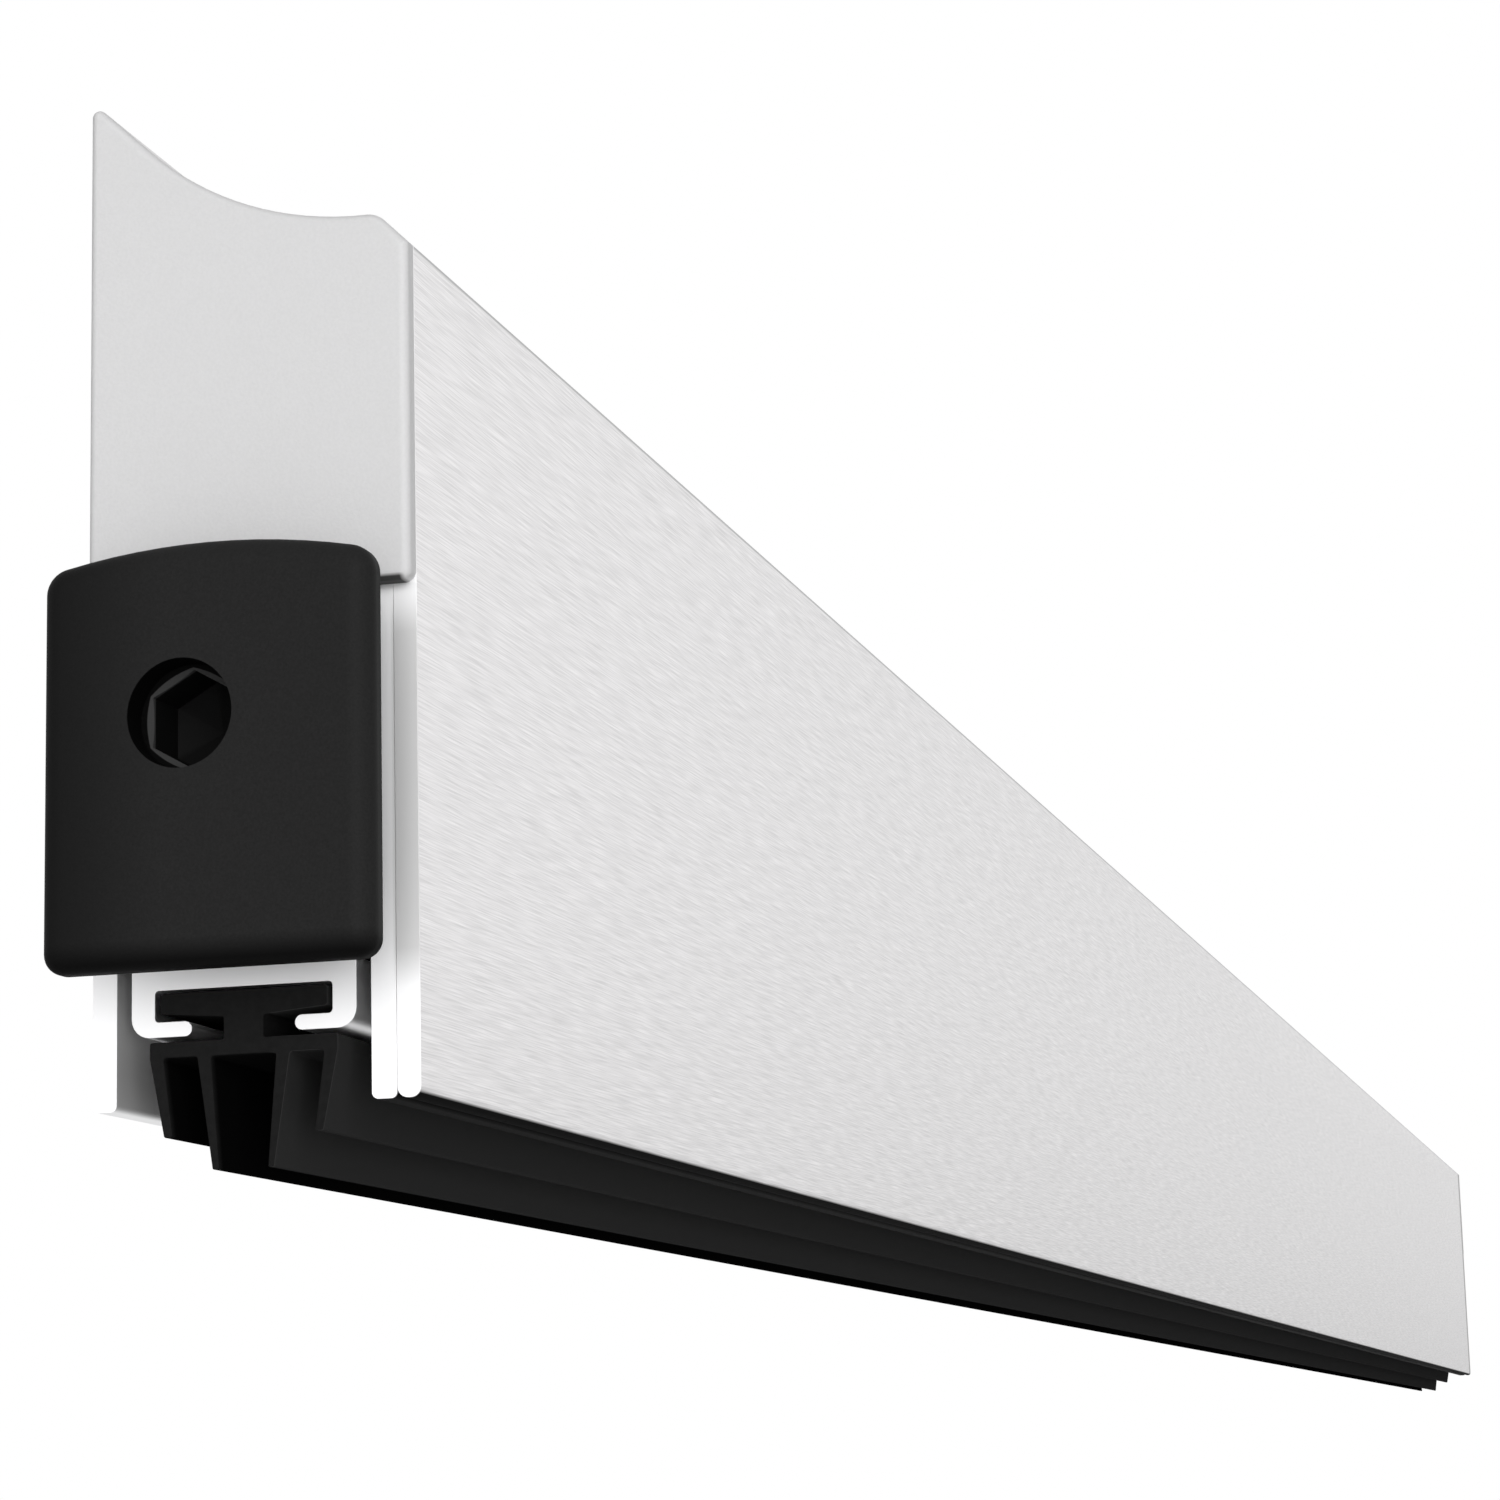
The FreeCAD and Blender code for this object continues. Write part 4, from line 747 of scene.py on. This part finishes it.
class RubberSeal(Extrusion):
    """The rubber strip: T head, neck, flange and four fins that lean inwards, with soft edges."""

    broken: float = 0.04 * MM
    arc_steps: int = 5

    def __init__(self) -> None:
        super().__init__("rubber_strip", "rubber_seal", "carrier", "seal_rubber")
        self.sizes = RubberSizes()

    def outline(self) -> np.ndarray:
        """The room half of the section from the head down to the fins, then its mirror image.

        Returns:
            The section's points, one row each.
        """
        size = self.sizes
        outer_tip = size.flange_half - size.outer_lean
        inner_tip = size.inner_place - size.inner_lean
        half = np.array([
            [size.head_half, size.head_top, size.head_round],
            [size.head_half, size.head_low, size.head_round],
            [size.neck_half, size.neck_low, size.edge_round],
            [size.neck_half, size.flange_top, size.edge_round],
            [size.flange_half, size.flange_top, size.edge_round],
            [size.flange_half, size.flange_low, size.edge_round],
            [outer_tip, size.outer_low, size.edge_round],
            [outer_tip - size.outer_tip, size.outer_low, size.edge_round],
            [size.flange_half - size.outer_root, size.flange_low, size.root_round],
            [size.inner_place, size.flange_low, size.root_round],
            [inner_tip, size.inner_low, size.tip_round],
            [inner_tip - size.inner_tip, size.inner_low, size.tip_round],
            [size.inner_place - size.inner_root, size.flange_low, size.root_round],
        ])
        return mirrored_outline(half, size.middle, self.arc_steps)


@dataclass
class BarSizes:
    """Sizes of the carrier bar's section, in metres."""

    middle: float = SECTION_MIDDLE
    width: float = 11 * MM
    wall: float = 1.15 * MM
    low: float = 3.33 * MM
    lip: float = 0.7 * MM
    slot: float = 5.05 * MM
    inner_top: float = 5.5 * MM
    low_round: float = 0.9 * MM
    top_round: float = 0.3 * MM
    lip_round: float = 0.34 * MM
    inner_round: float = 0.2 * MM


class CarrierBar(Extrusion):
    """The bar that carries the rubber: a C-section with round lips."""

    def __init__(self) -> None:
        super().__init__("carrier_section", "carrier_bar", "carrier", "bar_aluminium")
        self.sizes = BarSizes()

    def outline(self) -> np.ndarray:
        """The room half of the section from its top down to the lip, then its mirror image.

        Returns:
            The section's points, one row each.
        """
        size = self.sizes
        outside, slot = size.width / 2, size.slot / 2
        inside = outside - size.wall
        half = np.array([
            [outside, size.inner_top + size.wall, size.top_round],
            [outside, size.low, size.low_round],
            [slot, size.low, size.lip_round],
            [slot, size.low + size.lip, size.lip_round],
            [inside, size.low + size.lip, size.inner_round],
            [inside, size.inner_top, size.inner_round],
        ])
        return mirrored_outline(half, size.middle)


@dataclass
class ScrewSizes:
    """Sizes of the adjusting screw, in metres, and two shares of the socket's radius at its bottom."""

    face: float = -4.65 * MM
    depth: float = AXIS_DEPTH
    height: float = AXIS_HEIGHT
    head: float = 7 * MM
    head_length: float = 4.9 * MM
    head_round: float = 0.25 * MM
    shank: float = 5 * MM
    end: float = 18.25 * MM
    point: float = 0.5 * MM
    flats: float = 4 * MM
    socket: float = 3 * MM
    drill_point: float = 0.6 * MM
    drill_share: float = 0.02
    bottom_edge: float = 0.02 * MM
    bottom_share: float = 0.98
    mouth: float = 2.34 * MM
    mouth_flat: float = 0.18 * MM
    pitch: float = 0.8 * MM
    thread: float = 0.42 * MM
    neck: float = 0.3 * MM
    point_taper: float = 0.1 * MM


class AdjustingScrew(Piece):
    """The screw that sets the plunger: hexagon socket in the head and a thread on the shank."""

    around: int = 72
    head_rings: int = 6
    thread_rings: int = 180

    def __init__(self) -> None:
        super().__init__("adjusting_screw_turned", "adjusting_screw", "adjusting_screw", "black_screw")
        self.sizes = ScrewSizes()

    def rings(self) -> tuple[np.ndarray, np.ndarray]:
        """Places along the axis and radii of the rings, from the socket's bottom round to the point.

        The socket's rings have the radius h = (flats / 2) / cos(q) with q = (t mod 60 deg) - 30 deg about
        each flat's middle. A bevel of 45 degrees opens it to the radius m, halfway between a hexagon and a
        circle, so the ring where the two meet lies m - h deep. The head's edge is a quarter of a circle.
        The thread's rings have r = shank / 2 - depth |2 frac(x / pitch - t / 360 deg) - 1|.

        Returns:
            The places and the radii, each with one row a ring and one column a spoke.
        """
        size = self.sizes
        spoke = np.linspace(0, 2 * math.pi, self.around, endpoint=False)
        sixth = math.pi / 3
        hexagon = size.flats / 2 / np.cos((spoke % sixth) - sixth / 2)
        face, under = size.face, size.face + size.head_length
        rim = size.head / 2
        bottom = face + size.socket
        bend = np.linspace(0, math.pi / 2, self.head_rings)
        even = np.ones(self.around)
        mouth = 0.5 * (hexagon + size.mouth_flat + size.mouth)
        plain = [
            ((bottom + size.drill_point) * even, size.drill_share * hexagon),
            (bottom * even, size.bottom_share * hexagon),
            ((bottom - size.bottom_edge) * even, hexagon),
            (face + mouth - hexagon, hexagon),
            (face * even, mouth),
        ]
        plain += [
            ((face + size.head_round * (1 - math.cos(angle))) * even,
             (rim - size.head_round * (1 - math.sin(angle))) * even)
            for angle in bend
        ]
        plain += [(under * even, rim * even), (under * even, size.shank / 2 * even)]
        along = np.linspace(under + size.neck, size.end - size.point, self.thread_rings)
        wave = np.abs(2 * ((along[:, None] / size.pitch - spoke[None, :] / (2 * math.pi)) % 1) - 1)
        thread = size.shank / 2 - size.thread * wave
        tip = (size.shank / 2 - size.point - size.point_taper) * even
        plain_place, plain_radius = np.array(plain).transpose(1, 0, 2)
        place = np.concatenate((plain_place, along[:, None] * even, [size.end * even]))
        return place, np.concatenate((plain_radius, thread, [tip]))

    def build(self, material: bpy.types.Material) -> bpy.types.Object:
        """Turns the rings about the axis: S(i, t) = (x_i, y0 + r_i(t) sin t, z0 + r_i(t) cos t).

        Args:
            material: The finish.

        Returns:
            The piece's object.
        """
        size = self.sizes
        place, radius = self.rings()
        spoke = np.linspace(0, 2 * math.pi, self.around, endpoint=False)[None, :]
        points = np.stack((
            place - END, -size.depth + radius * np.sin(spoke), size.height + LOW + radius * np.cos(spoke)
        ), axis=-1)
        return self.place(points.reshape(-1, 3), tube_faces(len(points), self.around), material)


@dataclass
class SpringSizes:
    """Sizes of the return spring, in metres from the seal's middle and from the door."""

    near: float = 255.25 * MM
    far: float = 284.95 * MM
    depth: float = AXIS_DEPTH
    height: float = AXIS_HEIGHT
    wire: float = 0.7 * MM
    coil: float = 5.2 * MM
    turns: int = 9


class ReturnSpring(Piece):
    """The round-wire spring between the push rod and its block, wound once in place."""

    around: int = 12
    rings_a_turn: int = 40

    def __init__(self) -> None:
        super().__init__("return_spring_wound", "return_spring", "push_rod", "spring_steel")
        self.sizes = SpringSizes()

    def join(self, piece: bpy.types.Object) -> None:
        """Applies the spring's placement to its points and puts it on no body.

        Args:
            piece: The spring's object.
        """
        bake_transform(piece)

    def build(self, material: bpy.types.Material) -> bpy.types.Object:
        """Winds the wire: S(t, q) = C(t) + w (o(t) cos q + u(t) sin q).

        C(t) = (x0 + p t, R sin(2 pi t), R cos(2 pi t)) is the coil's middle line after t turns of pitch p,
        o points out from the axis, u is square to it and to the wire, and w is half the wire.

        Args:
            material: The finish.

        Returns:
            The piece's object.
        """
        size = self.sizes
        half, coil = size.wire / 2, size.coil / 2
        pitch = (size.far - size.near - size.wire) / size.turns
        rows = size.turns * self.rings_a_turn + 1
        turn = np.linspace(0, size.turns, rows)[:, None]
        angle = 2 * math.pi * turn
        none = np.zeros_like(angle)
        out = np.concatenate((none, np.sin(angle), np.cos(angle)), axis=1)
        around = np.concatenate((none, np.cos(angle), -np.sin(angle)), axis=1)
        slope = math.atan2(pitch, 2 * math.pi * coil)
        up = math.cos(slope) * np.array([[1.0, 0.0, 0.0]]) - math.sin(slope) * around
        start = np.array([[size.near + half, -size.depth, LOW + size.height]])
        middle = start + np.concatenate((pitch * turn, none, none), axis=1) + coil * out
        spoke = np.linspace(0, 2 * math.pi, self.around, endpoint=False)[None, :, None]
        round_wire = out[:, None, :] * np.cos(spoke) + up[:, None, :] * np.sin(spoke)
        points = middle[:, None, :] + half * round_wire
        return self.place(points.reshape(-1, 3), tube_faces(rows, self.around), material)


@dataclass(frozen=True)
class Lamp:
    """A square soft lamp that is turned to the middle of the object.

    Args:
        name: The lamp's name.
        place: Its middle in the row frame, in metres.
        power: Its power in watts.
        side: Its side, in metres.
    """

    name: str
    place: tuple[float, float, float]
    power: float
    side: float

    def build(self) -> None:
        """Makes the lamp."""
        data = bpy.data.lights.new(self.name, "AREA")
        data.energy = self.power
        data.size = self.side
        lamp = bpy.data.objects.new(self.name, data)
        bpy.context.scene.collection.objects.link(lamp)
        lamp.location = self.place
        lamp.rotation_mode = "QUATERNION"
        lamp.rotation_quaternion = (-Vector(self.place)).to_track_quat("-Z", "Y")


@dataclass(frozen=True)
class Studio:
    """The camera at the photograph's place, the floor, the backdrop and the soft light.

    Args:
        eye: The camera's place in the row frame, in metres.
        ahead: The direction that it looks in.
        above: The direction of the picture's upper edge.
        lens: Focal length in millimetres.
        sensor: Width of the sensor in millimetres.
        seen_from: The nearest distance that the camera sees, in metres.
        seen_to: The farthest distance that the camera sees, in metres.
        floor_height: The floor's height, in metres.
        floor_reach: Half the floor's side, in metres.
        floor_tone: How much light the floor throws back.
        floor_roughness: The floor's roughness.
        surround: Strength of the even light round the object.
        lamps: A large soft lamp before the near end and a weak one at the room side.
    """

    eye: tuple[float, float, float] = (-0.479633, -0.073863, -0.053452)
    ahead: tuple[float, float, float] = (0.9518, 0.24373, 0.18619)
    above: tuple[float, float, float] = (-0.17395, -0.07101, 0.98219)
    lens: float = 92.72
    sensor: float = 36.0
    seen_from: float = 0.01
    seen_to: float = 30.0
    floor_height: float = -0.6
    floor_reach: float = 6.0
    floor_tone: float = 0.85
    floor_roughness: float = 0.8
    surround: float = 0.24
    lamps: tuple[Lamp, ...] = (
        Lamp("front_lamp", (-2.3, -0.9, 0.3), 42.0, 1.8),
        Lamp("room_lamp", (1.2, -0.6, 0.42), 1.1, 0.9),
    )

    def make_camera(self) -> None:
        """Puts the camera at the photograph's viewing angle."""
        camera = bpy.data.objects.new("camera", bpy.data.cameras.new("camera"))
        bpy.context.scene.collection.objects.link(camera)
        ahead, above = Vector(self.ahead).normalized(), Vector(self.above)
        right = ahead.cross(above).normalized()
        above = right.cross(ahead)
        turn = Matrix((right, above, -ahead)).transposed()
        camera.matrix_world = Matrix.Translation(self.eye) @ turn.to_4x4()
        camera.data.lens = self.lens
        camera.data.sensor_width = self.sensor
        camera.data.clip_start = self.seen_from
        camera.data.clip_end = self.seen_to
        bpy.context.scene.camera = camera

    @staticmethod
    def _white_where_seen(tree: bpy.types.NodeTree, lit: bpy.types.NodeSocket) -> bpy.types.Node:
        """A mix of the lit shader and a second one, which camera, glossy and transmission rays see.

        Args:
            tree: The nodes of the world or the floor.
            lit: The shader that lights the object.

        Returns:
            The mix node, whose third input takes the second shader.
        """
        path = tree.nodes.new("ShaderNodeLightPath")
        seen = tree.nodes.new("ShaderNodeMath")
        seen.operation = "MAXIMUM"
        tree.links.new(path.outputs["Is Camera Ray"], seen.inputs[0])
        tree.links.new(path.outputs["Is Glossy Ray"], seen.inputs[1])
        seen_through = tree.nodes.new("ShaderNodeMath")
        seen_through.operation = "MAXIMUM"
        tree.links.new(seen.outputs["Value"], seen_through.inputs[0])
        tree.links.new(path.outputs["Is Transmission Ray"], seen_through.inputs[1])
        mix = tree.nodes.new("ShaderNodeMixShader")
        tree.links.new(seen_through.outputs["Value"], mix.inputs["Fac"])
        tree.links.new(lit, mix.inputs[1])
        return mix

    def make_world(self) -> None:
        """An even white surround, which the camera and the metals see as plain white."""
        world = bpy.data.worlds.new("surround")
        world.use_nodes = True
        tree = world.node_tree
        tree.nodes.clear()
        lit, seen = tree.nodes.new("ShaderNodeBackground"), tree.nodes.new("ShaderNodeBackground")
        for node, strength in ((lit, self.surround), (seen, 1.0)):
            node.inputs["Color"].default_value = (1, 1, 1, 1)
            node.inputs["Strength"].default_value = strength
        mix = self._white_where_seen(tree, lit.outputs["Background"])
        tree.links.new(seen.outputs["Background"], mix.inputs[2])
        output = tree.nodes.new("ShaderNodeOutputWorld")
        tree.links.new(mix.outputs["Shader"], output.inputs["Surface"])
        bpy.context.scene.world = world

    def make_floor(self) -> None:
        """A plain pale floor well below the object, which the camera sees as white."""
        reach, height = self.floor_reach, self.floor_height
        corners = [(x * reach, y * reach, height) for x, y in ((-1, -1), (1, -1), (1, 1), (-1, 1))]
        mesh = bpy.data.meshes.new("floor")
        mesh.from_pydata(corners, [], [(0, 1, 2, 3)])
        floor = bpy.data.objects.new("floor", mesh)
        bpy.context.scene.collection.objects.link(floor)
        material = bpy.data.materials.new("pale_floor")
        material.use_nodes = True
        tree = material.node_tree
        shader = tree.nodes["Principled BSDF"]
        shader.inputs["Base Color"].default_value = (self.floor_tone, self.floor_tone, self.floor_tone, 1)
        shader.inputs["Roughness"].default_value = self.floor_roughness
        glow = tree.nodes.new("ShaderNodeEmission")
        mix = self._white_where_seen(tree, shader.outputs["BSDF"])
        tree.links.new(glow.outputs["Emission"], mix.inputs[2])
        tree.links.new(mix.outputs["Shader"], tree.nodes["Material Output"].inputs["Surface"])
        mesh.materials.append(material)

    def build(self) -> None:
        """Makes the camera, the world, the floor and the lamps."""
        self.make_camera()
        self.make_world()
        self.make_floor()
        for lamp in self.lamps:
            lamp.build()
        bpy.context.scene.view_settings.view_transform = "Standard"


def dress_nodes(made: dict[str, bpy.types.Material]) -> None:
    """Gives every CAD node the finish of its material slot.

    Args:
        made: The finishes by slot name.
    """
    for row in frame["record"]["subparts"]:
        node = frame["nodes"][row["node"]]
        for slot in node.material_slots:
            slot.material = made[row["material_slot"]]
        LOG.info("%s is finished as %s", row["node"], row["material_slot"])


def main() -> None:
    """Builds the studio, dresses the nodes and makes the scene's own pieces."""
    logging.basicConfig(level=logging.INFO, format="%(message)s")
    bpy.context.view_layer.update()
    Studio().build()
    made = {finish.name: finish.build() for finish in FINISHES}
    dress_nodes(made)
    for piece in (Cover(), RubberSeal(), CarrierBar(), AdjustingScrew(), ReturnSpring()):
        piece.build(made[piece.slot])


if __name__ == "__main__":
    main()
